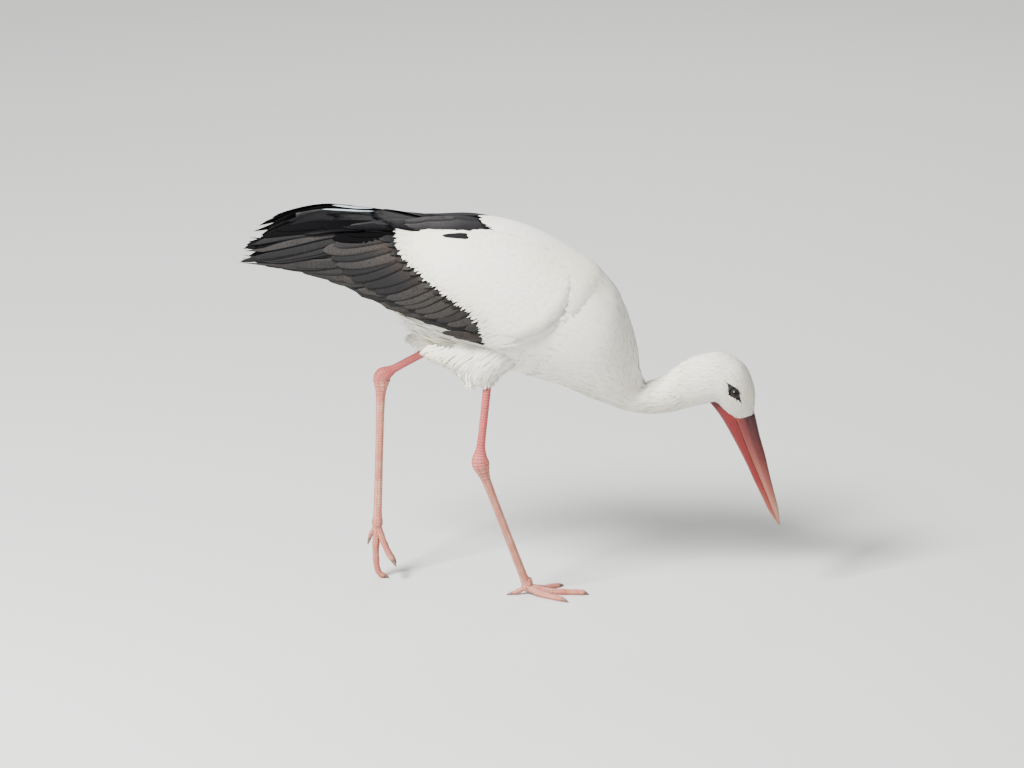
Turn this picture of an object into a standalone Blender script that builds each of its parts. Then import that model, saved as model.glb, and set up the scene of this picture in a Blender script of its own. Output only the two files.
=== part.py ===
"""White stork, feeding as it walks, at life size: faceted solids, one named object for each part of the bird.

Frame: metres, +X towards the bill, +Y the bird's left, +Z up. The floor is Z = 0, and the origin is the point
of the floor under the middle of the bird. Tables are in millimetres, and millimetres() turns them to metres.
"""

from math import cos, pi, radians, sin, sqrt

import bmesh
import bpy
import numpy as np
from mathutils import Matrix

GAP = 0.0003  # clearance between pieces that meet
SLIVER = 0.00003  # edges shorter than this are closed up after a cut
TARSUS = 0.2268  # heel joint to the root of the toes
JOINT_HEIGHT = 0.012  # root of the toes above the floor, foot flat
EYE_RADIUS = 0.0078
EYE_CENTRE = (0.330, 0.0196, 0.3137)
LEFT_WING_TURN = radians(0.4)  # the left wing is held a little higher
LEFT_WING_SHIFT = 0.008  # and a little further forward
WING_PIVOT = (0.060, 0.0, 0.470)  # shoulder
RIGHT, LEFT = -1, 1

# Trunk, neck and head are one form, ringed from the tail's root to the root of the bill. Each row is a ring:
# back x, z; belly x, z; half width; how much wider the ring is above its middle than below.
BODY = {
    "tail_root": (-207, 562, -216, 498, 22, 0.00),
    "rump": (-136, 574, -172, 436, 48, 0.05),
    "loins": (-62, 573, -121, 387, 66, 0.10),
    "back": (19, 552, -55, 359, 80, 0.12),
    "belly": (100, 509, 12, 341, 84, 0.12),
    "shoulders": (158, 457, 71, 324, 75, 0.10),
    "breast": (183, 389, 118, 303, 53, 0.05),
    "neck_root": (192, 329, 157, 287, 31, 0.00),
    "neck_bend": (207, 327, 192, 278, 26, 0.00),
    "neck_middle": (225, 335, 228, 278, 25, 0.00),
    "neck_rise": (249, 354, 263, 287, 24, 0.00),
    "nape": (274, 366, 286, 292, 25, 0.00),
    "crown": (308, 372, 296, 295, 27, 0.00),
    "brow": (343, 353, 303, 294, 27, 0.00),
    "face": (359, 316, 311, 285, 22, 0.00),
    "bill_root": (359, 275, 324, 268, 13, 0.00),
}
NECK_CUT, NECK_MIDDLE_CUT, HEAD_CUT = 7.0, 9.4, 11.4  # ring numbers where the form is parted
TRUNK_STEPS, HEAD_STEPS = 18, 11

# The folded wing is a strip of a wider form round the trunk. Each row is a ring of that form, tip first:
# back x, z; belly x, z; half width; height of the strip's lower and upper edge, -1 belly to 1 back; thickness.
WING = {
    "tip": (-399, 567, -399, 497, 37, -0.46, 0.20, 3),
    "primaries": (-386, 585, -387, 495, 40, -0.53, 0.33, 5),
    "wing_end": (-345, 605, -346, 485, 46, -0.55, 0.43, 7),
    "secondaries": (-283, 616, -284, 460, 57, -0.50, 0.56, 9),
    "tertials": (-208, 592, -212, 430, 70, -0.59, 0.86, 12),
    "rump": (-134, 580, -170, 405, 82, -0.59, 0.993, 16),
    "loins": (-60, 580, -124, 380, 93, -0.57, 0.998, 18),
    "back": (22, 560, -58, 355, 98, -0.50, 0.998, 18),
    "belly": (103, 515, 9, 338, 97, -0.31, 0.985, 14),
    "wrist": (134, 490, 40, 331, 90, 0.05, 0.80, 10),
    "front": (150, 477, 56, 327, 85, 0.34, 0.58, 6),
}
WING_ALONG, WING_ACROSS = 16, 15
PRIMARY_TIPS, PRIMARY_STEP = 5, 0.011  # stepped tips at the wing's end
WING_EDGE = 0.30  # thickness at the wing's edges, as a share of the middle's

# Bill: ridge x, z; gape x, z; keel x, z; half width.
BILL = {
    "root": (358.7, 277, 331, 272, 315.5, 262, 12.5),
    "quarter": (366.5, 243, 344.7, 236, 331.9, 231.5, 10.5),
    "middle": (375, 212, 356.8, 204, 348, 199, 8.2),
    "slope": (382, 182, 368.2, 176, 359.8, 172, 6.4),
    "narrows": (389, 154, 378.7, 149, 372, 146, 4.8),
    "near_tip": (395.5, 128, 387.7, 124.5, 383.2, 122.5, 3.2),
    "tip": (398.4, 103.5, 397.5, 102.5, 396.8, 102, 0.9),
}
# The lower bill runs back under the chin: top x, z; keel x, z; half width.
JAW = {
    "rear": (301.5, 301.5, 291.5, 295.5, 3),
    "chin": (318.5, 289, 304, 280, 9),
}

# Tail: root x, z; tip x, z; half width at the root, the middle and the tip; thickness.
TAIL = ((-0.214, 0.522), (-0.376, 0.524), (0.016, 0.026, 0.029), 0.009)

# Feathered thighs: front edge x, z; rear edge x, z; half width; how far out from the middle of the body.
# The first rows lie inside the trunk.
THIGH_RIGHT = {
    "hip": (42, 402, -84, 425, 26, 28),
    "knee": (14, 372, -90, 388, 26, 40),
    "calf": (-12, 354, -82, 359, 20, 47),
    "fringe": (-25, 343, -67, 341, 12, 50),
    "cuff": (-28, 337, -45, 335, 8.5, 50),
}
THIGH_LEFT = {
    "hip": (-10, 400, -100, 436, 26, 28),
    "knee": (-42, 357, -130, 405, 22, 42),
    "calf": (-88, 341, -146, 379, 16, 52),
    "cuff": (-122, 342, -140, 363, 9, 56),
}
THIGHS = {RIGHT: THIGH_RIGHT, LEFT: THIGH_LEFT}

# Bare legs: top of the shank and heel joint, as points.
SHANK_TOP = {RIGHT: (-0.0362, -0.050, 0.3362), LEFT: (-0.1318, 0.056, 0.3528)}
HEEL = {RIGHT: (-0.0485, -0.066, 0.2214), LEFT: (-0.1948, 0.084, 0.3096)}
FOOT_OUT = {RIGHT: 0.016, LEFT: 0.062}
LEFT_FOOT_BACK = 0.0062  # how far the left foot trails its heel joint
SHANK_RADIUS, HEEL_RADIUS, TARSUS_RADIUS, TOE_ROOT_RADIUS = 0.0059, 0.0128, 0.0060, 0.0078
HEEL_BEND = 0.017  # length over which the leg turns at the heel joint
LEG_FLATTEN = 0.84  # a leg is narrower from the front than from the side

# Toes: phalanges, radius, heading outwards from straight ahead, and pitch of each phalanx below level.
PHALANGES = {
    "middle": (0.032, 0.025, 0.018, 0.012),
    "inner": (0.027, 0.021, 0.012),
    "outer": (0.022, 0.017, 0.015, 0.012),
    "hind": (0.017, 0.009),
}
HEADING = {"middle": 2, "inner": -36, "outer": 34, "hind": 172}
TOE_RADIUS = {"middle": 0.0052, "inner": 0.0047, "outer": 0.0049, "hind": 0.0040}
FLAT_PITCH = {
    "middle": (14, 4, 2, 2),
    "inner": (16, 4, 2),
    "outer": (18, 5, 2, 2),
    "hind": (26, 16),
}
TIPTOE_PITCH = {
    "middle": (84, 79, 68, 26),
    "inner": (66, 60, 50),
    "outer": (70, 66, 62, 54),
    "hind": (58, 70),
}
CLAW_LENGTH, CLAW_ROOT = 0.0085, 0.70  # claw's root as a share of the toe's radius

WHITE = (0.87, 0.86, 0.80)
BLACK = (0.035, 0.032, 0.034)
BILL_RED = (0.62, 0.05, 0.03)
LEG_RED = (0.66, 0.17, 0.12)
CLAW_HORN = (0.16, 0.09, 0.07)
EYE_BROWN = (0.03, 0.015, 0.01)


def clear_scene():
    for thing in list(bpy.data.objects):
        bpy.data.objects.remove(thing)


def finish(name, colour, roughness):
    # One material for each finish, made once.
    if name in bpy.data.materials:
        return bpy.data.materials[name]
    made = bpy.data.materials.new(name)
    made.use_nodes = True
    shader = made.node_tree.nodes["Principled BSDF"]
    shader.inputs["Base Color"].default_value = (*colour, 1)
    shader.inputs["Roughness"].default_value = roughness
    made.diffuse_color = (*colour, 1)
    return made


def millimetres(table):
    return np.array(list(table.values()), float)


def smooth_rows(rows, at):
    # Catmull-Rom through the rows of a table, read at the row numbers in `at`.
    rows = np.asarray(rows, float)
    padded = np.vstack([2 * rows[0] - rows[1], rows, 2 * rows[-1] - rows[-2]])
    at = np.clip(np.asarray(at, float), 0, len(rows) - 1)
    first = np.minimum(at.astype(int), len(rows) - 2)
    t = (at - first)[:, None]
    a, b, c, d = (padded[first + k] for k in range(4))
    return 0.5 * (2 * b + (c - a) * t + (2 * a - 5 * b + 4 * c - d) * t**2 + (3 * b - a - 3 * c + d) * t**3)


def body_rings(at, around, grow=0.0):
    # Ring points of the body form: an ellipse between the back point and the belly point, wider above.
    row = smooth_rows(millimetres(BODY), at) / 1000
    back, belly = row[:, 0:2], row[:, 2:4]
    middle, up = (back + belly) / 2, (back - belly) / 2
    up = up * (1 + grow / np.linalg.norm(up, axis=1))[:, None]
    turn = 2 * pi * np.arange(around) / around
    width = (row[:, 4] + grow)[:, None] * np.cos(turn) * (1 + row[:, 5:6] * np.sin(turn))
    side = middle[:, None, :] + up[:, None, :] * np.sin(turn)[None, :, None]
    return np.stack([side[..., 0], width, side[..., 1]], axis=-1)


def build(name, points, faces, material):
    mesh = bpy.data.meshes.new(name)
    mesh.from_pydata([tuple(p) for p in points], [], faces)
    work = bmesh.new()
    work.from_mesh(mesh)
    bmesh.ops.recalc_face_normals(work, faces=work.faces)
    work.to_mesh(mesh)
    work.free()
    mesh.materials.append(material)
    mesh.shade_smooth()
    mesh.set_sharp_from_angle(angle=radians(40))
    made = bpy.data.objects.new(name, mesh)
    bpy.context.scene.collection.objects.link(made)
    return made


def loft(name, rings, material):
    # A closed solid through rings of equal length, with a flat face at each end.
    rings = np.asarray(rings, float)
    count, around = rings.shape[:2]
    faces = [list(range(around))[::-1], [(count - 1) * around + k for k in range(around)]]
    for i in range(count - 1):
        for k in range(around):
            a, b = i * around + k, i * around + (k + 1) % around
            faces += [[a, b, b + around], [a, b + around, a + around]]
    return build(name, rings.reshape(-1, 3), faces, material)


def parted(rings, first=False, last=False):
    # Draws the end rings back by half the gap, square to their own plane, where the form is parted.
    rings = np.array(rings)
    for wanted, end, inner in ((first, 0, 1), (last, -1, -2)):
        if wanted:
            third = rings.shape[1] // 3
            normal = np.cross(rings[end, third] - rings[end, 0], rings[end, 2 * third] - rings[end, 0])
            normal /= np.linalg.norm(normal)
            inwards = rings[inner].mean(0) - rings[end].mean(0)
            rings[end] += normal * np.sign(normal @ inwards) * GAP / 2
    return rings


def apply_boolean(thing, cutter, operation):
    change = thing.modifiers.new(operation.lower(), "BOOLEAN")
    change.operation = operation
    change.solver = "EXACT"
    change.object = cutter
    bpy.context.view_layer.update()
    graph = bpy.context.evaluated_depsgraph_get()
    mesh = bpy.data.meshes.new_from_object(thing.evaluated_get(graph))
    work = bmesh.new()
    work.from_mesh(mesh)
    bmesh.ops.triangulate(work, faces=work.faces)
    bmesh.ops.remove_doubles(work, verts=work.verts, dist=SLIVER)
    bmesh.ops.dissolve_degenerate(work, edges=work.edges, dist=SLIVER)
    work.to_mesh(mesh)
    work.free()
    thing.modifiers.clear()
    thing.data = mesh
    bpy.data.objects.remove(cutter)


def cut(thing, cutter):
    apply_boolean(thing, cutter, "DIFFERENCE")


def join(thing, other):
    apply_boolean(thing, other, "UNION")


def wing_solid(name, side, material, grow=0.0):
    # Outer sheet: rings of the wing form between two heights. Inner sheet: the same, drawn in by the thickness.
    rows = millimetres(WING)
    along = np.linspace(0, len(rows) - 1, WING_ALONG + 1)
    row = smooth_rows(rows, along)
    row[:, :5] /= 1000
    back, belly = row[:, 0:2], row[:, 2:4]
    middle, up = (back + belly) / 2, (back - belly) / 2
    reach = np.linalg.norm(up, axis=1)
    across = np.linspace(0, 1, WING_ACROSS + 1)
    low, high = np.arcsin(np.clip(row[:, 5:7], -0.999, 0.999)).T
    margin = grow / reach
    turn = (low - margin)[:, None] + (high - low + 2 * margin)[:, None] * across
    lens = WING_EDGE + (1 - WING_EDGE) * np.sqrt(np.clip(4 * across * (1 - across), 0, 1))
    thick = row[:, 7:8] / 1000 * lens

    def sheet(offset):
        share = 1 + offset / reach[:, None]
        side_view = middle[:, None, :] + up[:, None, :] * (np.sin(turn) * share)[..., None]
        out = np.cos(turn) * (row[:, 4:5] + offset)
        return np.stack([side_view[..., 0], side * out, side_view[..., 1]], axis=-1)

    outer, inner = sheet(grow * np.ones_like(thick)), sheet(-thick - grow)
    tips = PRIMARY_STEP * (1 - np.abs(2 * ((across * PRIMARY_TIPS) % 1) - 1)) * (across < 1)
    for grid in (outer, inner):
        grid[0, :, 0] -= tips - PRIMARY_STEP / 2 + grow
        grid[-1, :, 0] += grow
    if side == LEFT:
        turned = np.array(Matrix.Rotation(LEFT_WING_TURN, 3, "Y"))
        moved = np.array(WING_PIVOT) + (LEFT_WING_SHIFT, 0, 0)
        outer, inner = ((grid - WING_PIVOT) @ turned.T + moved for grid in (outer, inner))
    # One loop round each section: out along the outer sheet, back along the inner one.
    return loft(name, np.concatenate([outer, inner[:, ::-1]], axis=1), material)


def make_wings():
    black = finish("flight_feathers", BLACK, 0.55)
    return {side: wing_solid(f"wing_{word}", side, black) for side, word in ((RIGHT, "right"), (LEFT, "left"))}


def make_body(around=24):
    # The one form, parted into trunk, two lengths of neck, and head.
    white = finish("contour_feathers", WHITE, 0.85)
    lengths = (
        ("trunk", 0, NECK_CUT, TRUNK_STEPS, False, True),
        ("neck_lower", NECK_CUT, NECK_MIDDLE_CUT, 6, True, True),
        ("neck_upper", NECK_MIDDLE_CUT, HEAD_CUT, 5, True, True),
        ("head", HEAD_CUT, len(BODY) - 1, HEAD_STEPS, True, False),
    )
    made = {}
    for name, start, end, steps, first, last in lengths:
        rings = body_rings(np.linspace(start, end, steps + 1), around)
        made[name] = loft(name, parted(rings, first, last), white)
    for side in (RIGHT, LEFT):
        cut(made["trunk"], wing_solid("wing_seat", side, white, grow=GAP))
        socket = ball("eye_socket", side, EYE_RADIUS + GAP, white)
        cut(made["head"], socket)
    return made


def ball(name, side, radius, material):
    mesh = bpy.data.meshes.new(name)
    work = bmesh.new()
    bmesh.ops.create_uvsphere(work, u_segments=12, v_segments=8, radius=radius)
    x, out, z = EYE_CENTRE
    bmesh.ops.rotate(work, verts=work.verts, matrix=Matrix.Rotation(pi / 2, 3, "X"))  # a pole looks outwards
    bmesh.ops.translate(work, verts=work.verts, vec=(x, side * out, z))
    work.to_mesh(mesh)
    work.free()
    mesh.materials.append(material)
    mesh.shade_smooth()
    made = bpy.data.objects.new(name, mesh)
    bpy.context.scene.collection.objects.link(made)
    return made


def make_eyes():
    brown = finish("eye", EYE_BROWN, 0.1)
    for side, word in ((RIGHT, "right"), (LEFT, "left")):
        ball(f"eye_{word}", side, EYE_RADIUS, brown)


def half_section(edge, crest, width, points):
    # A half-round section: a flat across the gape line, and a bow from one edge over the crest to the other.
    turn = np.linspace(0, pi, points)
    bow = edge[:, None, :] + (crest - edge)[:, None, :] * np.sin(turn)[None, :, None] ** 0.85
    return np.stack([bow[..., 0], width[:, None] * np.cos(turn), bow[..., 1]], axis=-1)


def make_bill():
    red = finish("bill", BILL_RED, 0.4)
    row = smooth_rows(millimetres(BILL), np.linspace(0, len(BILL) - 1, 13)) / 1000
    ridge, gape, keel, width = row[:, 0:2], row[:, 2:4], row[:, 4:6], row[:, 6]
    across = (keel - ridge) / np.linalg.norm(keel - ridge, axis=1)[:, None]
    upper = loft("bill_upper", half_section(gape - across * GAP / 2, ridge, width, 11), red)
    # The lower bill's two arms run back under the chin. Both halves are cut to the head's own surface.
    jaw = millimetres(JAW) / 1000
    tops = np.vstack([jaw[:, 0:2], gape + across * GAP / 2])
    keels = np.vstack([jaw[:, 2:4], keel])
    widths = np.concatenate([jaw[:, 4], width])
    lower = loft("bill_lower", half_section(tops, keels, widths, 11), red)
    for half in (upper, lower):
        cut(half, head_cutter())


def head_cutter(around=24):
    rings = body_rings(np.linspace(HEAD_CUT, len(BODY) - 1, HEAD_STEPS + 1), around, grow=GAP)
    ahead = rings[-1].mean(0) - rings[-2].mean(0)
    rings[-1] += ahead / np.linalg.norm(ahead) * GAP
    return loft("head_cutter", rings, finish("contour_feathers", WHITE, 0.85))


def make_tail():
    (root_x, root_z), (tip_x, tip_z), widths, thickness = TAIL
    share = np.linspace(0, 1, 8)
    centre_x = root_x + (tip_x - root_x) * share
    centre_z = root_z + (tip_z - root_z) * share - 0.004 * np.sin(pi * share)
    width = np.interp(share, (0, 0.55, 1), widths)
    thick = thickness * (1 - 0.55 * share)
    turn = 2 * pi * np.arange(12) / 12
    y = width[:, None] * np.cos(turn)
    bow = -0.004 * (y / widths[-1]) ** 2
    z = centre_z[:, None] + bow + thick[:, None] / 2 * np.sin(turn)
    x = centre_x[:, None] + np.zeros_like(y)
    x[-1] += 0.006 * (y[-1] / widths[-1]) ** 2
    loft("tail", np.stack([x, y, z], axis=-1), finish("tail_feathers", WHITE, 0.7))


def thigh_rings(table, side, around, steps):
    row = smooth_rows(millimetres(table), np.linspace(0, len(table) - 1, steps)) / 1000
    middle, reach = (row[:, 0:2] + row[:, 2:4]) / 2, (row[:, 0:2] - row[:, 2:4]) / 2
    turn = 2 * pi * np.arange(around) / around
    side_view = middle[:, None, :] + reach[:, None, :] * np.cos(turn)[None, :, None]
    out = side * row[:, 5:6] + row[:, 4:5] * np.sin(turn)
    return np.stack([side_view[..., 0], out, side_view[..., 1]], axis=-1)


def trunk_cutter(around=24):
    rings = body_rings(np.linspace(0, NECK_CUT, TRUNK_STEPS + 1), around, grow=GAP)
    return loft("trunk_cutter", rings, finish("contour_feathers", WHITE, 0.85))


def make_thighs():
    white = finish("thigh_feathers", WHITE, 0.9)
    for side, word in ((RIGHT, "right"), (LEFT, "left")):
        thigh = loft(f"thigh_{word}", thigh_rings(THIGHS[side], side, 16, 10), white)
        cut(thigh, trunk_cutter())


def tube_rings(path, radius, flatten, around, side=(0, 1, 0), phase=0.0):
    # Rings square to a path, each flattened across `side`. A phase of one half puts a flat underneath.
    path, side = np.asarray(path, float), np.asarray(side, float)
    heading = np.gradient(path, axis=0)
    heading /= np.linalg.norm(heading, axis=1)[:, None]
    lateral = side - (heading @ side)[:, None] * heading
    lateral /= np.linalg.norm(lateral, axis=1)[:, None]
    other = np.cross(heading, lateral)
    turn = 2 * pi * (np.arange(around) + phase) / around
    radius = np.asarray(radius, float)[:, None, None]
    across = lateral[:, None, :] * (np.cos(turn) * flatten)[None, :, None]
    return path[:, None, :] + radius * (across + other[:, None, :] * np.sin(turn)[None, :, None])


def toe_root(side):
    # The foot end of the tarsus, found from its length.
    x, y, z = HEEL[side]
    foot_y = side * FOOT_OUT[side]
    if side == RIGHT:
        ahead = sqrt(TARSUS**2 - (z - JOINT_HEIGHT) ** 2 - (y - foot_y) ** 2)
        return np.array([x + ahead, foot_y, JOINT_HEIGHT])
    drop = sqrt(TARSUS**2 - LEFT_FOOT_BACK**2 - (y - foot_y) ** 2)
    return np.array([x - LEFT_FOOT_BACK, foot_y, z - drop])


def bent_path(top, heel, foot, steps):
    # Straight, a rounded bend at the heel joint, straight: a quadratic curve through the bend.
    into = heel + (top - heel) / np.linalg.norm(top - heel) * HEEL_BEND / 2
    away = heel + (foot - heel) / np.linalg.norm(foot - heel) * HEEL_BEND / 2
    t = np.linspace(0, 1, steps)[:, None]
    bend = into * (1 - t) ** 2 + 2 * heel * t * (1 - t) + away * t**2
    return into, bend, away


def seated(ring, along, cuff, side):
    # Slides a ring's points along the shank until they lie just clear of the flat face of the thigh's cuff.
    front, rear = np.array(cuff[0:2]) / 1000, np.array(cuff[2:4]) / 1000
    across = (front - rear) / np.linalg.norm(front - rear)
    normal = np.array([-across[1], 0, across[0]])
    normal *= np.sign(normal @ along)
    middle = np.array([(front + rear)[0] / 2, side * cuff[5] / 1000, (front + rear)[1] / 2])
    short = GAP - (ring - middle) @ normal
    return ring + along * (short / (along @ normal))[:, None]


def make_leg(side, word, around=12):
    skin = finish("leg_skin", LEG_RED, 0.6)
    top, heel, foot = np.array(SHANK_TOP[side]), np.array(HEEL[side]), toe_root(side)
    into, bend, away = bent_path(top, heel, foot, 7)
    down = (foot - heel) / np.linalg.norm(foot - heel)
    along_shank = (heel - top) / np.linalg.norm(heel - top)
    upper = np.vstack([top + (into - top) * s for s in (0, 0.3, 0.6, 0.8)] + [bend[:4]])
    grown = [SHANK_RADIUS * 1.08, SHANK_RADIUS, SHANK_RADIUS * 1.02, SHANK_RADIUS * 1.2]
    knob = [HEEL_RADIUS * k for k in (0.78, 0.92, 0.99, 1.0)]
    shank = tube_rings(upper, grown + knob, LEG_FLATTEN, around)
    shank[0] = seated(shank[0], along_shank, THIGHS[side]["cuff"], side)
    end = foot - down * TOE_ROOT_RADIUS * 1.4
    lower = np.vstack([bend[3:], *[away + (end - away) * s for s in (0.12, 0.3, 0.6, 0.85, 1.0)]])
    knob = [HEEL_RADIUS * k for k in (1.0, 0.98, 0.88, 0.74)]
    slim = [TARSUS_RADIUS * k for k in (1.25, 1.04, 1.0, 1.06)] + [TOE_ROOT_RADIUS]
    tarsus = tube_rings(lower, knob + slim, LEG_FLATTEN, around)
    shank[-1] = tarsus[0] = (shank[-1] + tarsus[0]) / 2
    loft(f"shank_{word}", parted(shank, last=True), skin)
    loft(f"tarsus_{word}", parted(tarsus, first=True, last=True), skin)
    make_foot(side, word, foot, tarsus[-1], down, skin)


def toe_path(root, heading, pitches, lengths):
    # A smooth line through the joints of a toe that turns down by each pitch in turn.
    points = [np.array(root)]
    for pitch, length in zip(pitches, lengths):
        tilt = radians(pitch)
        step = (cos(tilt) * cos(heading), cos(tilt) * sin(heading), -sin(tilt))
        points.append(points[-1] + length * np.array(step))
    at = np.linspace(0, len(points) - 1, 2 * (len(points) - 1) + 1)
    return smooth_rows(points, np.insert(at, -1, at[-1] - 0.2))


def turned_down(pitches, lengths, drop):
    # Adds to every pitch the one angle that brings the toe's tip down by `drop`.
    extra = np.linspace(-25, 25, 501)
    reach = np.sin(np.radians(np.array(pitches) + extra[:, None])) @ np.array(lengths)
    return np.array(pitches) + extra[np.argmin(np.abs(reach - drop))]


def on_the_floor(rings):
    rings = np.array(rings)
    rings[..., 2] = np.maximum(rings[..., 2], 0)
    return rings


def claw_rings(path, heading, radius, lowest):
    # A short cone that curves down on from the toe's last heading.
    ahead = path[-1] - path[-2]
    ahead /= np.linalg.norm(ahead)
    start = path[-1] + ahead * GAP
    steps = np.linspace(0, 1, 4)
    line = start + ahead * steps[:, None] * CLAW_LENGTH
    line[2:, 2] = np.maximum(line[2:, 2] - 0.0012 * steps[2:] ** 2, lowest)
    lateral = (-sin(heading), cos(heading), 0)
    size = radius * CLAW_ROOT * (1 - 0.78 * steps)
    return on_the_floor(tube_rings(line, size, 0.85, 6, lateral))


def make_foot(side, word, root, collar, down, skin):
    horn = finish("claws", CLAW_HORN, 0.4)
    pitches = FLAT_PITCH if side == RIGHT else TIPTOE_PITCH
    hub_path = [root - down * (TOE_ROOT_RADIUS * 1.4 - GAP), root - down * 0.004, root + down * 0.004]
    hub = tube_rings(hub_path, [TOE_ROOT_RADIUS, TOE_ROOT_RADIUS * 1.15, TOE_ROOT_RADIUS * 0.8], 1.0, 12)
    foot = loft(f"foot_{word}", on_the_floor(hub), skin)
    for toe, lengths in PHALANGES.items():
        heading = side * radians(HEADING[toe])
        pitch = pitches[toe]
        if side == LEFT and toe == "middle":
            pitch = turned_down(pitch, lengths, root[2] - TOE_RADIUS[toe] * 0.45)
        path = toe_path(root, heading, pitch, lengths)
        share = np.append(np.linspace(0, 1, len(path) - 1), 1)
        pads = 1 + 0.08 * np.cos(2 * pi * share * len(lengths))
        radius = TOE_RADIUS[toe] * (1.18 - 0.34 * share) * pads
        radius[-1] *= 0.86
        floor_line = radius * 0.80 if side == RIGHT and toe != "hind" else np.zeros_like(radius)
        path[1:, 2] = np.maximum(path[1:, 2], floor_line[1:])
        lateral = (-sin(heading), cos(heading), 0)
        join(foot, loft("toe", on_the_floor(tube_rings(path, radius, 1.08, 8, lateral, 0.5)), skin))
        claw = claw_rings(path, heading, radius[-1], radius[-1] * 0.45)
        loft(f"claw_{toe}_{word}", claw, horn)


clear_scene()
make_wings()
make_body()
make_eyes()
make_bill()
make_tail()
make_thighs()
for leg_side, leg_word in ((RIGHT, "right"), (LEFT, "left")):
    make_leg(leg_side, leg_word)
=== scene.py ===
import math

import bmesh
import bpy
import numpy as np
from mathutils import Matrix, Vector


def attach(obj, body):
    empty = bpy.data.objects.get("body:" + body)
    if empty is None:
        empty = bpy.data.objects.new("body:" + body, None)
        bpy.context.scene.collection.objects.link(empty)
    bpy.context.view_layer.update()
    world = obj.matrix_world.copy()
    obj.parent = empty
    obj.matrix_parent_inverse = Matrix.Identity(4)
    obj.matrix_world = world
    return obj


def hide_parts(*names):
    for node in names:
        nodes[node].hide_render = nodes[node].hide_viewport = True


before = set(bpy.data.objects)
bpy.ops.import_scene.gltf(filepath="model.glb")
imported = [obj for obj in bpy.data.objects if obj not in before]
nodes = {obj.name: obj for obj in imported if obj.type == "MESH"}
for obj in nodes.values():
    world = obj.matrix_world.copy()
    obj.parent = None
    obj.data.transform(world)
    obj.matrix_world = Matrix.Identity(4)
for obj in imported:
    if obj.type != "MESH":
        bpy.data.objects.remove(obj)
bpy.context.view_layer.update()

mm = 0.001
sides = {"right": -1, "left": 1}


class Wire:
    # A socket of a shader tree. Arithmetic on it adds Math nodes; make() adds any other node.
    def __init__(self, tree, socket=None):
        self.tree, self.socket = tree, socket

    def make(self, kind, settings=None, values=None, output=0):
        node = self.tree.nodes.new(kind)
        for key, value in (settings or {}).items():
            if key == "stops":
                ramp = node.color_ramp
                while len(ramp.elements) < len(value):
                    ramp.elements.new(0.5)
                for element, (place, colour) in zip(ramp.elements, value):
                    element.position = place
                    element.color = (*colour, 1)
            else:
                setattr(node, key, value)
        for key, value in (values or {}).items():
            if isinstance(value, Wire):
                self.tree.links.new(value.socket, node.inputs[key])
            else:
                node.inputs[key].default_value = value
        return Wire(self.tree, node.outputs[output])

    def maths(self, operation, first, second=0.0):
        return self.make("ShaderNodeMath", {"operation": operation}, {0: first, 1: second})

    def __add__(self, other):
        return self.maths("ADD", self, other)

    def __sub__(self, other):
        return self.maths("SUBTRACT", self, other)

    def __rsub__(self, other):
        return self.maths("SUBTRACT", other, self)

    def __mul__(self, other):
        return self.maths("MULTIPLY", self, other)

    __radd__, __rmul__ = __add__, __mul__

    def within(self, low, high):
        # 0 below low, 1 above high, smooth between
        values = {"Value": self, "From Min": low, "From Max": high}
        return self.make("ShaderNodeMapRange", {"interpolation_type": "SMOOTHSTEP"}, values)

    def blend(self, first, second):
        # first colour where the wire is 0, second where it is 1
        first, second = ((*c, 1) if isinstance(c, tuple) else c for c in (first, second))
        return self.make("ShaderNodeMix", {"data_type": "RGBA"}, {0: self, 6: first, 7: second}, 2)

    def noise(self, vector, scale, detail=3.0, roughness=0.5):
        values = {"Vector": vector, "Scale": scale, "Detail": detail, "Roughness": roughness}
        return self.make("ShaderNodeTexNoise", None, values, "Fac")

    def stretch(self, factors):
        # the wired vector times one factor for each axis
        return self.make("ShaderNodeVectorMath", {"operation": "MULTIPLY"}, {0: self, 1: factors})

    def axis(self, number):
        return self.make("ShaderNodeSeparateXYZ", None, {0: self}, number)

    def place(self):
        return self.make("ShaderNodeTexCoord", None, None, "Object")

    def uvMap(self, name):
        return self.make("ShaderNodeUVMap", {"uv_map": name})

    def attribute(self, name):
        return self.make("ShaderNodeAttribute", {"attribute_name": name}, None, "Fac")

    def bump(self, height, distance):
        return self.make("ShaderNodeBump", None, {"Height": height, "Distance": distance}, "Normal")


def newMaterial(name, fixed):
    # fixed: values set on the Principled shader's own sockets
    material = bpy.data.materials.new(name)
    material.use_nodes = True
    for key, value in fixed.items():
        material.node_tree.nodes["Principled BSDF"].inputs[key].default_value = value
    return material, Wire(material.node_tree)


def wireUp(material, links):
    for key, wire in links.items():
        wire.tree.links.new(wire.socket, material.node_tree.nodes["Principled BSDF"].inputs[key])
    return material


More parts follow.
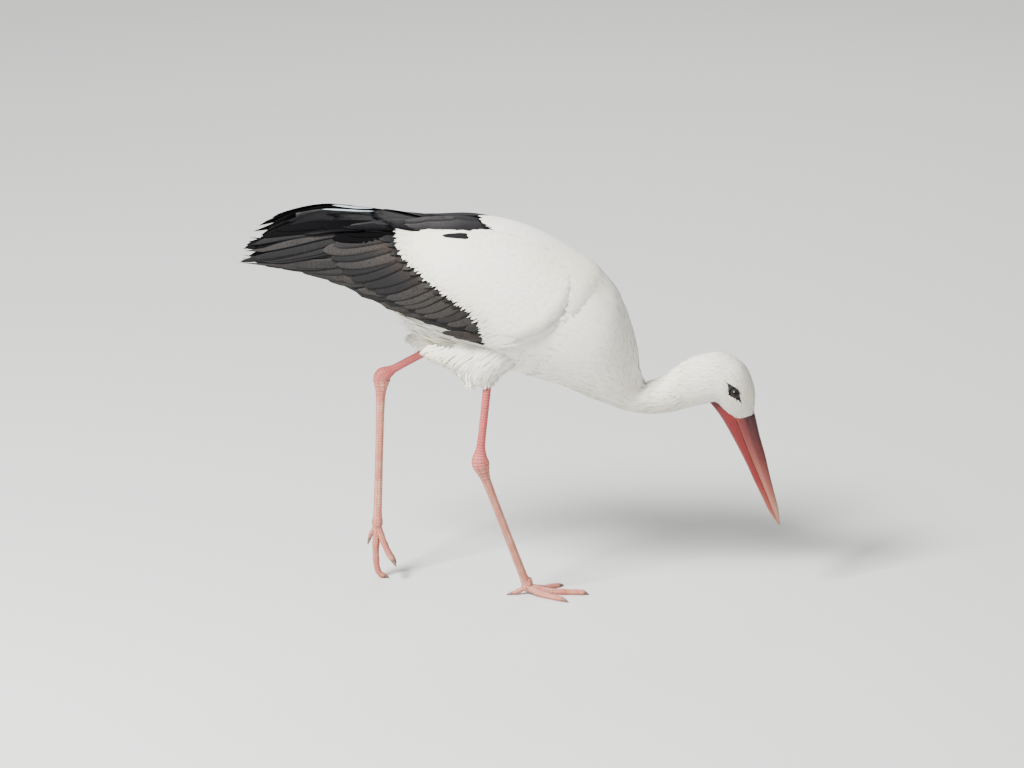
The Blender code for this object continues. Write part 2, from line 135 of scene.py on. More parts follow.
def featherMaterial(name, look):
    # Colour runs from the root's to the tip's, is turned by each feather's own tone and by soft blotches
    # over the body, and is streaked along the barbs, which slant away from the shaft.
    material, start = newMaterial(name, look["fixed"])
    tone, reach, vane, place = start.attribute("tone"), start.attribute("reach"), start.uvMap("vane"), start.place()
    across = start.maths("ABSOLUTE", vane.axis(0))
    slant = vane.axis(1) - across * look["slant"]
    grain = start.make("ShaderNodeCombineXYZ", None, {0: across * 5.0, 1: slant * look["streaks"], 2: tone * 90})
    streak = start.noise(grain, 1.0, 4.0, 0.6)
    blotch = start.noise(place, look["blotchScale"], 2.0)
    body = (tone * look["toneShare"] + blotch * (1 - look["toneShare"])).within(0.25, 0.75)
    colour = body.blend(look["first"], look["second"])
    # on the white and cream feathers the darker root colour is painted shade where the feathers overlap; on the dark
    # ones it is a browner base
    grown = reach.within(0.0, look["rootEnds"]) * look["rootShare"] + (1 - look["rootShare"])
    colour = grown.blend(look["root"], colour)
    colour = ((streak - 0.5) * look["streakShare"] + 0.5).within(0.2, 0.8).blend(look["streakDark"], colour)
    if "stain" in look:
        soil = start.noise(place, look["stainScale"], 3.0).within(0.48, 0.70)
        colour = (soil * look["stainShare"]).blend(colour, look["stain"])
    rough = streak * 0.16 + (look["rough"] - 0.08)
    if "edge" in look:
        # a dark edge is a painted shadow line along each vane's rim; the pale edge of the rimmed secondaries is a real
        # margin
        rim = start.attribute("span").within(look["rimFrom"], look["rimTo"]) * (tone.within(0.1, 0.9) * 0.7 + 0.3)
        colour = (rim * look["rimShare"]).blend(colour, look["edge"])
        # feathers whose tone is below nought turn to a darker, shaded copy of the finish: painted shade
        paintedShade = (0.0 - tone).within(0.1, 0.8)
        colour = paintedShade.blend(colour, look["paintedShade"])
        rough = rough + paintedShade * 0.25
    return wireUp(material, {"Base Color": colour, "Roughness": rough, "Normal": start.bump(streak, look["bump"])})


def inScene(name, data):
    thing = bpy.data.objects.new(name, data)
    bpy.context.scene.collection.objects.link(thing)
    return thing


def keepValues(mesh, name, values):
    # numbers kept for each vertex: pairs become a UV map, single numbers an attribute
    values = np.ascontiguousarray(values, np.float32)
    if values.ndim == 2:
        corners = np.empty(len(mesh.loops), np.int32)
        mesh.loops.foreach_get("vertex_index", corners)
        mesh.uv_layers.new(name=name, do_init=False).uv.foreach_set("vector", values[corners].ravel())
    else:
        mesh.attributes.new(name, "FLOAT", "POINT").data.foreach_set("value", values)


def finishPiece(name, points, faces, materials, replaced=(), values=None, faceSlots=None, closed=True):
    # Makes one piece, with its values for each vertex, and turns the faces of a closed one outwards.
    mesh = bpy.data.meshes.new(name)
    mesh.from_pydata(points.reshape(-1, 3), [], faces)
    for material in materials:
        mesh.materials.append(material)
    if faceSlots is not None:
        mesh.polygons.foreach_set("material_index", np.asarray(faceSlots, np.int32))
    mesh.polygons.foreach_set("use_smooth", np.full(len(mesh.polygons), True))
    for key, numbers in (values or {}).items():
        keepValues(mesh, key, numbers)
    if closed:
        work = bmesh.new()
        work.from_mesh(mesh)
        bmesh.ops.recalc_face_normals(work, faces=work.faces)
        work.to_mesh(mesh)
        work.free()
    piece = inScene(name, mesh)
    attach(piece, "root")
    if replaced:
        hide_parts(*replaced)
    print(name, "triangles", sum(len(face) - 2 for face in faces))


def gridFaces(count, rows, columns, start=0):
    # Quads of `count` grids laid out one after another, rows by columns vertices each.
    i, j = np.meshgrid(np.arange(rows - 1), np.arange(columns - 1), indexing="ij")
    corner = (i * columns + j).ravel()
    quad = np.stack([corner, corner + columns, corner + columns + 1, corner + 1], axis=1)
    return (quad[None] + np.arange(count)[:, None, None] * rows * columns + start).reshape(-1, 4)


def rimFaces(count, rows, columns, start):
    # Quads round the edge of each vane, from its upper sheet to its underside.
    grid = np.arange(rows * columns).reshape(rows, columns)
    loop = np.concatenate([grid[0, :-1], grid[:-1, -1], grid[-1, :0:-1], grid[:0:-1, 0]])
    after, under = np.roll(loop, -1), count * rows * columns
    quad = np.stack([loop, after, after + under, loop + under], axis=1)
    return (quad[None] + np.arange(count)[:, None, None] * rows * columns + start).reshape(-1, 4)


def rolledFaces(rows, around, capped=True):
    # Quads of a grid whose columns close on themselves, with a cap of one polygon at each end.
    i, j = np.meshgrid(np.arange(rows - 1), np.arange(around), indexing="ij")
    a, b = i * around + j, i * around + (j + 1) % around
    faces = np.stack([a, b, b + around, a + around], axis=-1).reshape(-1, 4).tolist()
    ring = np.arange(around)
    return faces + ([ring[::-1].tolist(), (ring + (rows - 1) * around).tolist()] if capped else [])


def smoothRows(rows, at):
    # Catmull-Rom through table rows, read at fractional row numbers, carried straight on past either end.
    rows = np.asarray(rows, float)
    padded = np.vstack([2 * rows[0] - rows[1], rows, 2 * rows[-1] - rows[-2]])
    at = np.asarray(at, float)
    held = np.clip(at, 0, len(rows) - 1)
    first = np.minimum(held.astype(int), len(rows) - 2)
    t = (held - first)[..., None]
    a, b, c, d = (padded[first + k] for k in range(4))
    curve = 0.5 * (2 * b + (c - a) * t + (2 * a - 5 * b + 4 * c - d) * t**2 + (3 * b - a - 3 * c + d) * t**3)
    slope = np.where((at < 0)[..., None], rows[1] - rows[0], rows[-1] - rows[-2])
    return curve + slope * (at - held)[..., None]


def table(rows):
    return np.array(list(rows.values()), float)


def unit(vectors):
    return vectors / np.maximum(np.linalg.norm(vectors, axis=-1, keepdims=True), 1e-12)


def dot(first, second):
    return (first * second).sum(-1)


def runningLength(points):
    # how far each point of a line is from its start, measured along it
    return np.concatenate([[0], np.cumsum(np.linalg.norm(np.diff(points, axis=0), axis=-1))])


def held(share):
    return np.clip(share, 0, 1)


def easeIn(share):
    return held(share) * held(share) * (3 - 2 * held(share))


def bell(at, middle, width, power=2):
    # 1 at the middle, falling away on both sides
    return np.exp(-(((at - middle) / width) ** power))


def nearest(points, others):
    # for each point, which of the others is nearest and how far away it is
    which, away = [], []
    for start in range(0, len(points), 100):
        apart = np.linalg.norm(points[start:start + 100, None] - others[None], axis=-1)
        which.append(apart.argmin(1))
        away.append(apart.min(1))
    return np.concatenate(which), np.concatenate(away)


def rowsAt(rows, at):
    # a table of millimetres read between its rows, in metres
    return smoothRows(table(rows), at) * mm


def ringView(row, height):
    # the side view of a ring: from the middle of its two ends, towards the first by height from -1 to 1
    return (row[..., 0:2] + row[..., 2:4]) / 2 + (row[..., 0:2] - row[..., 2:4]) / 2 * height[..., None]


def placed(view, across):
    # points from a side view's x, z and how far they lie across it
    return np.stack([view[..., 0], across, view[..., 1]], axis=-1)


# The forms that the coat is laid over. Each takes a row number a and a second number b round or across it.
# Outlines are tables of rings in millimetres, read smoothly between their rows.
bodyRows = {
    # back x, z; belly x, z; half width; how much wider the ring is above its middle (millimetres)
    "tailRoot": (-207, 562, -216, 498, 22, 0.00),
    "rump": (-136, 574, -172, 436, 48, 0.05),
    "loins": (-62, 573, -121, 387, 66, 0.10),
    "back": (19, 552, -55, 359, 80, 0.12),
    "belly": (100, 509, 12, 341, 84, 0.12),
    "shoulders": (158, 457, 71, 324, 75, 0.10),
    "breast": (183, 389, 118, 303, 53, 0.05),
    "neckRoot": (192, 329, 157, 287, 31, 0.00),
    "neckBend": (207, 327, 192, 278, 26, 0.00),
    "neckMiddle": (225, 335, 228, 278, 25, 0.00),
    "neckRise": (249, 354, 263, 287, 24, 0.00),
    "nape": (274, 366, 286, 292, 25, 0.00),
    "crown": (308, 372, 296, 295, 27, 0.00),
    "brow": (343, 353, 303, 294, 27, 0.00),
    "face": (359, 316, 311, 285, 22, 0.00),
    "billRoot": (359, 275, 324, 268, 13, 0.00),
}

wingRows = {
    # as the body's rows, then how low and high the wing reaches round the ring, as sines; thickness
    "tip": (-399, 567, -399, 497, 37, -0.46, 0.20, 3),
    "primaries": (-386, 585, -387, 495, 40, -0.53, 0.33, 5),
    "wingEnd": (-345, 605, -346, 485, 46, -0.55, 0.43, 7),
    "secondaries": (-283, 616, -284, 460, 57, -0.50, 0.56, 9),
    "tertials": (-208, 592, -212, 430, 70, -0.59, 0.86, 12),
    "rump": (-134, 580, -170, 405, 82, -0.59, 0.993, 16),
    "loins": (-60, 580, -124, 380, 93, -0.57, 0.998, 18),
    "back": (22, 560, -58, 355, 98, -0.50, 0.998, 18),
    "belly": (103, 515, 9, 338, 97, -0.31, 0.985, 14),
    "wrist": (134, 490, 40, 331, 90, 0.05, 0.80, 10),
    "front": (150, 477, 56, 327, 85, 0.34, 0.58, 6),
}
leftWing = {"turn": math.radians(0.4), "ahead": 0.008, "pivot": (0.060, 0.0, 0.470)}

hipRows = {
    # front edge x, z; rear edge x, z; half width; distance out from the bird's middle
    "right": {
        "hip": (42, 402, -84, 425, 26, 28),
        "knee": (14, 372, -90, 388, 26, 40),
        "calf": (-12, 354, -82, 359, 20, 47),
    },
    "left": {
        "hip": (-10, 400, -100, 436, 26, 28),
        "knee": (-42, 357, -130, 405, 22, 42),
    },
}
thighRows = {
    "right": {
        **hipRows["right"],
        "fringe": (-25, 343, -67, 341, 12, 50),
        "cuff": (-28, 337, -45, 335, 8.5, 50),
        "shank": (-34, 312, -49, 310, 7.5, 52.5),
    },
    "left": {
        **hipRows["left"],
        "calf": (-88, 341, -146, 379, 16, 52),
        "cuff": (-122, 342, -140, 363, 9, 56),
        "shank": (-146, 331, -158, 346, 7.5, 62),
    },
}
# the same rings, but hanging straight below: the forms that the loose tufts follow
skirtRows = {
    "right": {
        **hipRows["right"],
        "fringe": (-25, 346, -68, 345, 13, 50),
        "hem": (-31, 337, -62, 336, 11, 50),
    },
    "left": {
        **hipRows["left"],
        "calf": (-88, 345, -146, 381, 16, 52),
        "hem": (-108, 338, -158, 370, 13, 54),
    },
}
flankRows = {
    "hip": (42, 402, -158, 425, 27, 28),
    "knee": (14, 372, -136, 386, 29, 40),
    "calf": (-12, 356, -84, 358, 22, 47),
    "hem": (-31, 341, -66, 341, 11, 50),
}


def bodyForm(a, b):
    # Ring at row a: middle + up * sin(b) in the side view, half width * cos(b) * (1 + widening * sin b) across.
    row = rowsAt(bodyRows, a)
    return placed(ringView(row, np.sin(b)), row[..., 4] * np.cos(b) * (1 + row[..., 5] / mm * np.sin(b)))


def wingForm(side):
    # A strip of a ring wider than the body's: b runs 0 to 1 from the wing's lower to its upper edge.
    def form(a, b):
        row = smoothRows(table(wingRows), a)
        row[..., :5] *= mm
        low, high = (np.arcsin(np.clip(row[..., k], -0.999, 0.999)) for k in (5, 6))
        turn = low + (high - low) * b
        points = placed(ringView(row, np.sin(turn)), side * row[..., 4] * np.cos(turn))
        if side > 0:
            c, s = math.cos(leftWing["turn"]), math.sin(leftWing["turn"])
            away = points - leftWing["pivot"]
            x, z = away[..., 0] * c + away[..., 2] * s, away[..., 2] * c - away[..., 0] * s
            points = np.stack([x + leftWing["ahead"], away[..., 1], z], axis=-1) + leftWing["pivot"]
        return points

    return form


def thighForm(side, rows):
    # Ring at row a: middle + reach * cos(b) in the side view, out + half width * sin(b) across.
    def form(a, b):
        row = rowsAt(rows, a)
        return placed(ringView(row, np.cos(b)), side * row[..., 5] + row[..., 4] * np.sin(b))

    return form


def mantleForm(a, b):
    # Rings closed over the back, easing from the right wing's to the left wing's across the middle.
    row = rowsAt(mantleRows, a)
    right = placed(ringView(row, np.cos(b)), row[..., 4] * np.sin(b))
    share = easeIn((b + 0.75) / 0.85) * held((5.4 - a) / 1.4)
    return right + share[..., None] * np.array((leftWing["ahead"], 0, 0.0005))


mantleRows = {
    # the wings' rings behind, easing on to the body's rings in front: top x, z; foot x, z; half width
    **{key: wingRows[key][:5] for key in ("rump", "loins", "back")},
    "belly": (103, 514, 9, 339, 97),
    "wrist": (133, 486, 42, 331, 84),
    "shoulders": (158, 459, 69, 323, 77),
    "breast": (174, 424, 94, 313, 66),
}
roofRows = {
    # middle x, z; half width; how far the sides hang: the tertials that close over the tail
    "back": (-70, 572, 16, 2),
    "rump": (-135, 577, 28, 4),
    "tertials": (-208, 584, 40, 6),
    "secondaries": (-275, 584, 46, 8),
    "end": (-345, 568, 42, 12),
}


def roofForm(a, b):
    # A low arch from wing to wing: b runs -1 to 1 across, and the height falls with its square.
    row = rowsAt(roofRows, a)
    return np.stack([row[..., 0] + 0 * b, row[..., 2] * b, row[..., 1] - row[..., 3] * b**2], axis=-1)


def slopes(form, a, b):
    # How the form moves with each of its two numbers, by central differences.
    h = 0.004
    return (form(a + h, b) - form(a - h, b)) / (2 * h), (form(a, b + h) - form(a, b - h)) / (2 * h)


def stepsFor(alongA, alongB, move):
    # The steps of the two numbers that make a small move over the form, by least squares.
    aa, ab, bb = dot(alongA, alongA), dot(alongA, alongB), dot(alongB, alongB)
    am, bm = dot(alongA, move), dot(alongB, move)
    spread = np.maximum(aa * bb - ab * ab, 1e-14)
    return (am * bb - bm * ab) / spread, (bm * aa - am * ab) / spread


def layFeathers(form, outwards, rootA, rootB, length, width, lie, shape, rng, fromTip=False):
    # Each feather is a small grid carried over the form. Its shaft starts at the root and steps along the lie;
    # its width follows the vane's outline; its height above the form rises from -sink at the root to +lift at
    # the tip, with a camber across and a tilt that sets each vane's lower edge over the next one. The tip is
    # ragged at random, by less than its own width so that its faces never fold. outwards is 1 or -1, which
    # turns the cross product of the form's slopes out of the body; fromTip starts the shaft at its tip.
    count, rows, columns = len(rootA), shape["rows"], shape["columns"]
    v = np.linspace(0, 1, rows) ** shape.get("rowPower", 1.0)
    u = np.linspace(-1, 1, columns)
    a, b = np.empty((count, rows)), np.empty((count, rows))
    a[:, 0], b[:, 0] = rootA, rootB
    turn = rng.normal(0, shape.get("turn", 0.05), count)
    for k in range(1, rows):
        alongA, alongB = slopes(form, a[:, k - 1], b[:, k - 1])
        normal = unit(np.cross(alongA, alongB)) * outwards
        ahead = lie(alongA, a[:, k - 1], b[:, k - 1])
        ahead = unit(ahead - normal * dot(ahead, normal)[:, None])
        ahead = ahead * np.cos(turn)[:, None] + np.cross(normal, ahead) * np.sin(turn)[:, None]
        gone = length * ((v[rows - k] - v[rows - k - 1]) * -1 if fromTip else v[k] - v[k - 1])
        da, db = stepsFor(alongA, alongB, ahead * gone[:, None])
        a[:, k], b[:, k] = a[:, k - 1] + da, b[:, k - 1] + db
    if fromTip:
        a, b = a[:, ::-1], b[:, ::-1]
    alongA, alongB = slopes(form, a, b)
    normal = unit(np.cross(alongA, alongB)) * outwards
    ahead = unit(np.gradient(form(a, b), axis=1))
    across = unit(np.cross(normal, ahead))
    half = (width[:, None] / 2 * vaneOutline(v, shape)[None, :])[:, :, None]
    lengthways = rng.uniform(-1, 1, (count, 1, columns)) * shape["ragged"] * half * (v**8)[None, :, None]
    sweep = rng.normal(0, shape.get("sweep", 0.0), count)[:, None, None] * length[:, None, None] * v[:, None] ** 2
    sideways = half * u + sweep
    move = across[:, :, None, :] * sideways[..., None] + ahead[:, :, None, :] * lengthways[..., None]
    da, db = stepsFor(alongA[:, :, None, :], alongB[:, :, None, :], move)
    points = form(a[:, :, None] + da, b[:, :, None] + db)
    lift = shape["lift"] + rng.uniform(0, 1, count) * shape["looseness"]
    height = -shape["sink"] * (1 - v[None, :]) ** shape.get("sinkPower", 1.0) + lift[:, None] * v[None, :] ** 2
    height = height[:, :, None] + shape["camber"] * half * (1 - u**2) + shape.get("tilt", 0.0) * outwards * half * u
    return {
        "points": points + normal[:, :, None, :] * height[..., None],
        "normal": normal[:, :, None, :],
        "root": np.stack([a[:, 0], b[:, 0]], axis=1),
        "uv": np.broadcast_arrays(np.broadcast_to(u, (count, rows, columns)), v[None, :, None]),
        "size": (width[:, None, None], length[:, None, None]),
        "tone": rng.uniform(0, 1, count),
        "thick": shape.get("thick", 0.0),
    }


def sunk(batch, depth):
    # the feathers moved in along their normals
    batch["points"] = batch["points"] - batch["normal"] * depth[..., None]
    return batch


def vaneOutline(v, shape):
    # Half width along the vane: swells from the quill, keeps full, then closes as an ellipse at the tip.
    swell = shape["quill"] + (1 - shape["quill"]) * held(v / 0.35) ** 0.8
    close = held((v - shape["fullTo"]) / (1 - shape["fullTo"]))
    return swell * np.maximum(np.sqrt(1 - close ** shape.get("bluntness", 2.0)), shape["tipWidth"])


def coatPiece(name, batches, material, slot, *replaced):
    # Joins batches of feathers into one mesh. The bake map gives each feather a patch 0.003 across at its root's
    # place on the form's own two numbers, one strip of the map for each batch.
    kept = {"points": [], "OFBake": [], "vane": [], "tone": [], "reach": [], "span": []}
    faces, start = [], 0
    for strip, batch in enumerate(batches):
        (u, v), (width, length), thick = batch["uv"], batch["size"], batch["thick"]
        count, rows, columns = u.shape
        low, high = batch["root"].min(0), batch["root"].max(0)
        share = (batch["root"] - low) / np.maximum(high - low, 1e-9)
        left, wide = (strip + 0.02) / len(batches), 0.96 / len(batches)
        place = np.stack([left + share[:, 1] * wide, 0.01 + share[:, 0] * 0.98], axis=1)[:, None, None, :]
        values = {
            "OFBake": (np.stack([u * 0.0015, (v - 0.5) * 0.003], axis=-1) + place).reshape(-1, 2),
            "vane": np.stack([u * width * 50, v * length * 100], axis=-1).reshape(-1, 2),
            "tone": np.broadcast_to(batch["tone"][:, None, None], u.shape).ravel(),
            "reach": v.ravel(),
            "span": np.abs(u).ravel(),
        }
        sheets = [batch["points"]]
        if thick:
            # the underside, drawn in towards the edges, makes each vane a closed thin body
            lens = thick * (0.3 + 0.7 * (1 - u**2)) * (1 - 0.6 * v)
            sheets.append(batch["points"] - batch["normal"] * lens[..., None])
        for number, sheet in enumerate(sheets):
            quads = gridFaces(count, rows, columns, start)
            faces.append(quads[:, ::-1] if number else quads)
            for key, numbers in dict(values, points=sheet.reshape(-1, 3)).items():
                kept[key].append(numbers)
            start += u.size
        if thick:
            faces.append(rimFaces(count, rows, columns, start - 2 * u.size))
    kept = {key: np.concatenate(parts) for key, parts in kept.items()}
    faces = np.concatenate(faces).tolist()
    finishPiece(name, kept.pop("points"), faces, [material], replaced, kept, closed=False)


def tractRoots(form, fromA, toA, look, rng, fromB=-math.pi, toB=math.pi, jitter=0.3):
    # Rows of roots across the form, evenly spaced over its surface; each second row is set off by half a space.
    rowSpace, space = look["spacing"]
    fine = np.linspace(fromA, toA, 200)
    probe = np.linspace(fromB, toB, 9)[1:-1]
    lines = form(fine[:, None] + 0 * probe, probe + 0 * fine[:, None])
    gone = np.concatenate([[0], np.cumsum(np.linalg.norm(np.diff(lines, axis=0), axis=-1).mean(-1))])
    roundB = np.linspace(fromB, toB, 121)
    allA, allB = [], []
    for number, a in enumerate(np.interp(np.arange(0, gone[-1], rowSpace), gone, fine)):
        along = runningLength(form(np.full(121, a), roundB))
        places = np.arange(0.25 + 0.5 * (number % 2), along[-1] / space) * space
        places = places + rng.uniform(-jitter, jitter, len(places)) * space
        allB.append(np.interp(places, along, roundB))
        allA.append(a + rng.uniform(-jitter, jitter, len(places)) * rowSpace * (toA - fromA) / gone[-1])
    return np.concatenate(allA), np.concatenate(allB)


def backwards(alongA, a, b):
    return -alongA


def onwards(alongA, a, b):
    return alongA


skinLook = {
    # how far the skin lies inside the feathers: from trunk to neck to head at these x, and on the thighs
    "voxel": 0.0034, "smoothing": 5, "depthAt": (0.13, 0.18, 0.25, 0.29), "depth": (0.0042, 0.0030, 0.0030, 0.0017),
    "thighDepth": 0.0034, "thighTop": 0.375, "thighFront": 0.02,
}
fleshNodes = ["trunk", "neck_lower", "neck_upper", "head", "thigh_right", "thigh_left"]


def fleshMesh(look):
    # The flesh nodes joined, remeshed as one surface, smoothed and drawn in by the coat's depth.
    work = bmesh.new()
    for name in fleshNodes:
        work.from_mesh(nodes[name].data)
    bmesh.ops.remove_doubles(work, verts=work.verts, dist=0.00001)
    mesh = bpy.data.meshes.new("flesh")
    work.to_mesh(mesh)
    work.free()
    solid = inScene("flesh", mesh)
    remesh = solid.modifiers.new("remesh", "REMESH")
    remesh.mode = "VOXEL"
    remesh.voxel_size = look["voxel"]
    soften = solid.modifiers.new("soften", "SMOOTH")
    soften.factor = 0.5
    soften.iterations = look["smoothing"]
    bpy.context.view_layer.update()
    made = bpy.data.meshes.new_from_object(solid.evaluated_get(bpy.context.evaluated_depsgraph_get()))
    bpy.data.objects.remove(solid)
    points, normals = np.empty(len(made.vertices) * 3), np.empty(len(made.vertices) * 3)
    made.vertices.foreach_get("co", points)
    made.vertices.foreach_get("normal", normals)
    points, normals = points.reshape(-1, 3), normals.reshape(-1, 3)
    onThigh = (points[:, 2] < look["thighTop"]) & (points[:, 0] < look["thighFront"])
    depth = np.where(onThigh, look["thighDepth"], np.interp(points[:, 0], look["depthAt"], look["depth"]))
    return points - normals * depth[:, None], [tuple(face.vertices) for face in made.polygons]


webLook = {
    # each web's two toes and how far along them it reaches
    "webs": (("middle", "outer", 0.024), ("inner", "middle", 0.017)),
    "rows": 10, "columns": 9, "drawnBack": 0.45, "raised": 0.0004, "thick": 0.0016, "aboveFloor": 0.0002,
}
footHub = {
    # heights above and below the root of the toes, and the radius there
    "from": 0.013, "to": -0.008, "rings": 12, "around": 20,
    "at": (-0.008, -0.005, 0.000, 0.006, 0.013), "radius": (0.0034, 0.0062, 0.0082, 0.0083, 0.0066),
}
legs = {
    # where the shank leaves the thigh, the heel, and how far out the foot stands
    "right": {"top": (-0.0362, -0.050, 0.3362), "heel": (-0.0485, -0.066, 0.2214), "out": 0.016, "tiptoe": False},
    "left": {"top": (-0.1318, 0.056, 0.3528), "heel": (-0.1948, 0.084, 0.3096), "out": 0.062, "tiptoe": True},
}
legSizes = {
    "tarsus": 0.2268, "rootHeight": 0.012, "footBack": 0.0062, "slim": 0.0059, "bend": 0.017, "flatten": 0.84,
    "around": 28, "step": 0.0010, "scute": 0.0042, "scuteDepth": 0.00022,
    # the heel's knob: its middle below the heel, its reach, how far it stands out behind; the folds below it:
    # their spacing, middle, reach and depth
    "knob": (0.004, 0.018, 0.0016), "folds": (0.0062, 0.017, 0.010, 0.0004),
}
legSwell = (
    # distance below the heel, and the radius there as a share of the slim one; the last two count from the toes
    ((-0.2, 1.1), (-0.100, 1.02), (-0.040, 1.0), (-0.022, 1.10), (-0.012, 1.55), (-0.003, 2.05), (0.004, 2.10),
     (0.012, 1.80), (0.020, 1.42), (0.032, 1.16), (0.06, 1.04), (0.12, 1.0)),
    ((-0.02, 1.06), (0, 1.34)),
)
toes = {
    # bones' lengths from the root, heading in degrees outwards from straight ahead, and how far down each bone
    # points, in degrees, with the foot flat and on tiptoe
    "middle": {"bones": (0.032, 0.025, 0.018, 0.012), "heading": 2, "radius": 0.0052,
               "flat": (14, 4, 2, 2), "tiptoe": (84, 79, 68, 26)},
    "inner": {"bones": (0.027, 0.021, 0.012), "heading": -36, "radius": 0.0047,
              "flat": (16, 4, 2), "tiptoe": (66, 60, 50)},
    "outer": {"bones": (0.022, 0.017, 0.015, 0.012), "heading": 34, "radius": 0.0049,
              "flat": (18, 5, 2, 2), "tiptoe": (70, 66, 62, 54)},
    "hind": {"bones": (0.017, 0.009), "heading": 172, "radius": 0.0040, "flat": (26, 16), "tiptoe": (58, 70)},
}


def tubeGrid(path, radius, flatten, around, side, phase=0.0):
    # Rings square to a path: centre + radius * (side * flatten * cos + other * sin).
    heading = unit(np.gradient(path, axis=0))
    side = np.asarray(side, float)
    lateral = unit(side - (heading @ side)[:, None] * heading)
    other = np.cross(heading, lateral)
    turn = 2 * math.pi * (np.arange(around) + phase) / around
    radius = radius[:, None, None] if radius.ndim == 1 else radius[:, :, None]
    return path[:, None, :] + radius * (
        lateral[:, None, :] * (np.cos(turn) * flatten)[None, :, None] + other[:, None, :] * np.sin(turn)[None, :, None]
    )


def evenPath(points, step):
    # the same line through its points, read at even spaces along it
    points = np.asarray(points, float)
    fine = smoothRows(points, np.linspace(0, len(points) - 1, 40 * len(points)))
    gone = runningLength(fine)
    places = np.linspace(0, gone[-1], max(int(gone[-1] / step), 4))
    return np.stack([np.interp(places, gone, fine[:, k]) for k in range(3)], axis=1), places


def tubeMap(turn, along):
    # the leg's own map: the share of the way round, and the distance along
    share, along = np.broadcast_arrays((turn / (2 * math.pi))[None, :], along[:, None])
    return np.stack([share, along], axis=-1).reshape(-1, 2)


def footRoot(name, sizes):
    # The foot end of the tarsus, found from its length.
    leg, side = legs[name], sides[name]
    x, y, z = leg["heel"]
    footY = side * leg["out"]
    if not leg["tiptoe"]:
        ahead = math.sqrt(sizes["tarsus"] ** 2 - (z - sizes["rootHeight"]) ** 2 - (y - footY) ** 2)
        return np.array([x + ahead, footY, sizes["rootHeight"]])
    drop = math.sqrt(sizes["tarsus"] ** 2 - sizes["footBack"] ** 2 - (y - footY) ** 2)
    return np.array([x - sizes["footBack"], footY, z - drop])


def legTube(name, sizes):
    # One tube from inside the thigh to the root of the toes. The radius follows the bones; the heel is a knob,
    # deeper behind, with folds just below it; low ridges a few millimetres apart ring the front.
    leg = legs[name]
    top, heel, foot = np.array(leg["top"]), np.array(leg["heel"]), footRoot(name, sizes)
    shank, tarsus = unit(heel - top), unit(foot - heel)
    half = sizes["bend"] / 2
    t = np.linspace(0, 1, 9)[:, None]
    bend = (heel - shank * half) * (1 - t) ** 2 + 2 * heel * t * (1 - t) + (heel + tarsus * half) * t**2
    upper = top - shank * 0.030 + shank * np.linspace(0, 1, 12)[:, None] * (np.linalg.norm(heel - top) + 0.030 - half)
    lower = heel + tarsus * np.linspace(half, np.linalg.norm(foot - heel) - 0.001, 22)[:, None]
    path, gone = evenPath(np.vstack([upper[:-1], bend, lower[1:]]), sizes["step"])
    atHeel = gone[np.argmin(np.linalg.norm(path - heel, axis=1))]
    fromHeel = gone - atHeel
    end = gone[-1] - atHeel
    marks = [*legSwell[0], *((end + place, size) for place, size in legSwell[1])]
    radius = np.interp(fromHeel, *np.array(marks).T) * sizes["slim"]
    kernel = np.hanning(9) / np.hanning(9).sum()
    radius = np.convolve(np.pad(radius, 4, mode="edge"), kernel, mode="valid")
    turn = 2 * math.pi * np.arange(sizes["around"]) / sizes["around"]
    front = held(-np.sin(turn))[None, :] ** 0.7
    rings = np.abs(np.sin(math.pi * fromHeel / sizes["scute"]))[:, None] ** 0.6 - 0.6
    cells = np.sin(turn * 7)[None, :] * np.sin(2 * math.pi * fromHeel / sizes["scute"])[:, None]
    (knobAt, knobReach, knobOut), (foldSpace, foldAt, foldReach, foldDepth) = sizes["knob"], sizes["folds"]
    knob = bell(fromHeel, knobAt, knobReach)[:, None]
    folds = np.sin(2 * math.pi * fromHeel / foldSpace)[:, None] * bell(fromHeel, foldAt, foldReach)[:, None]
    relief = (rings * (0.4 + 0.6 * front) + cells * (1 - front) * 0.5) * sizes["scuteDepth"] * (1 - 0.7 * knob)
    relief = relief + folds * foldDepth + knob * knobOut * held(np.sin(turn))[None, :] ** 2
    grid = tubeGrid(path, radius[:, None] + relief, sizes["flatten"], sizes["around"], (0, 1, 0))
    return grid, tubeMap(turn, fromHeel)


toeSizes = {
    "step": 0.0008, "around": 20, "flatten": 1.08, "roundEnd": 0.003, "scute": 0.0030, "scuteDepth": 0.00028,
    # the toe's radius at the root and its loss along it; the swelling of the pads, set back by padBack, padReach
    "taper": (1.16, 0.36), "pads": (0.94, 0.10), "padBack": 0.03, "padReach": 0.07, "sole": 0.80,
}


def toePath(root, heading, pitches, bones, step):
    points = [np.array(root)]
    for pitch, bone in zip(np.radians(pitches), bones):
        ahead = (math.cos(pitch) * math.cos(heading), math.cos(pitch) * math.sin(heading), -math.sin(pitch))
        points.append(points[-1] + bone * np.array(ahead))
    return evenPath(points, step)


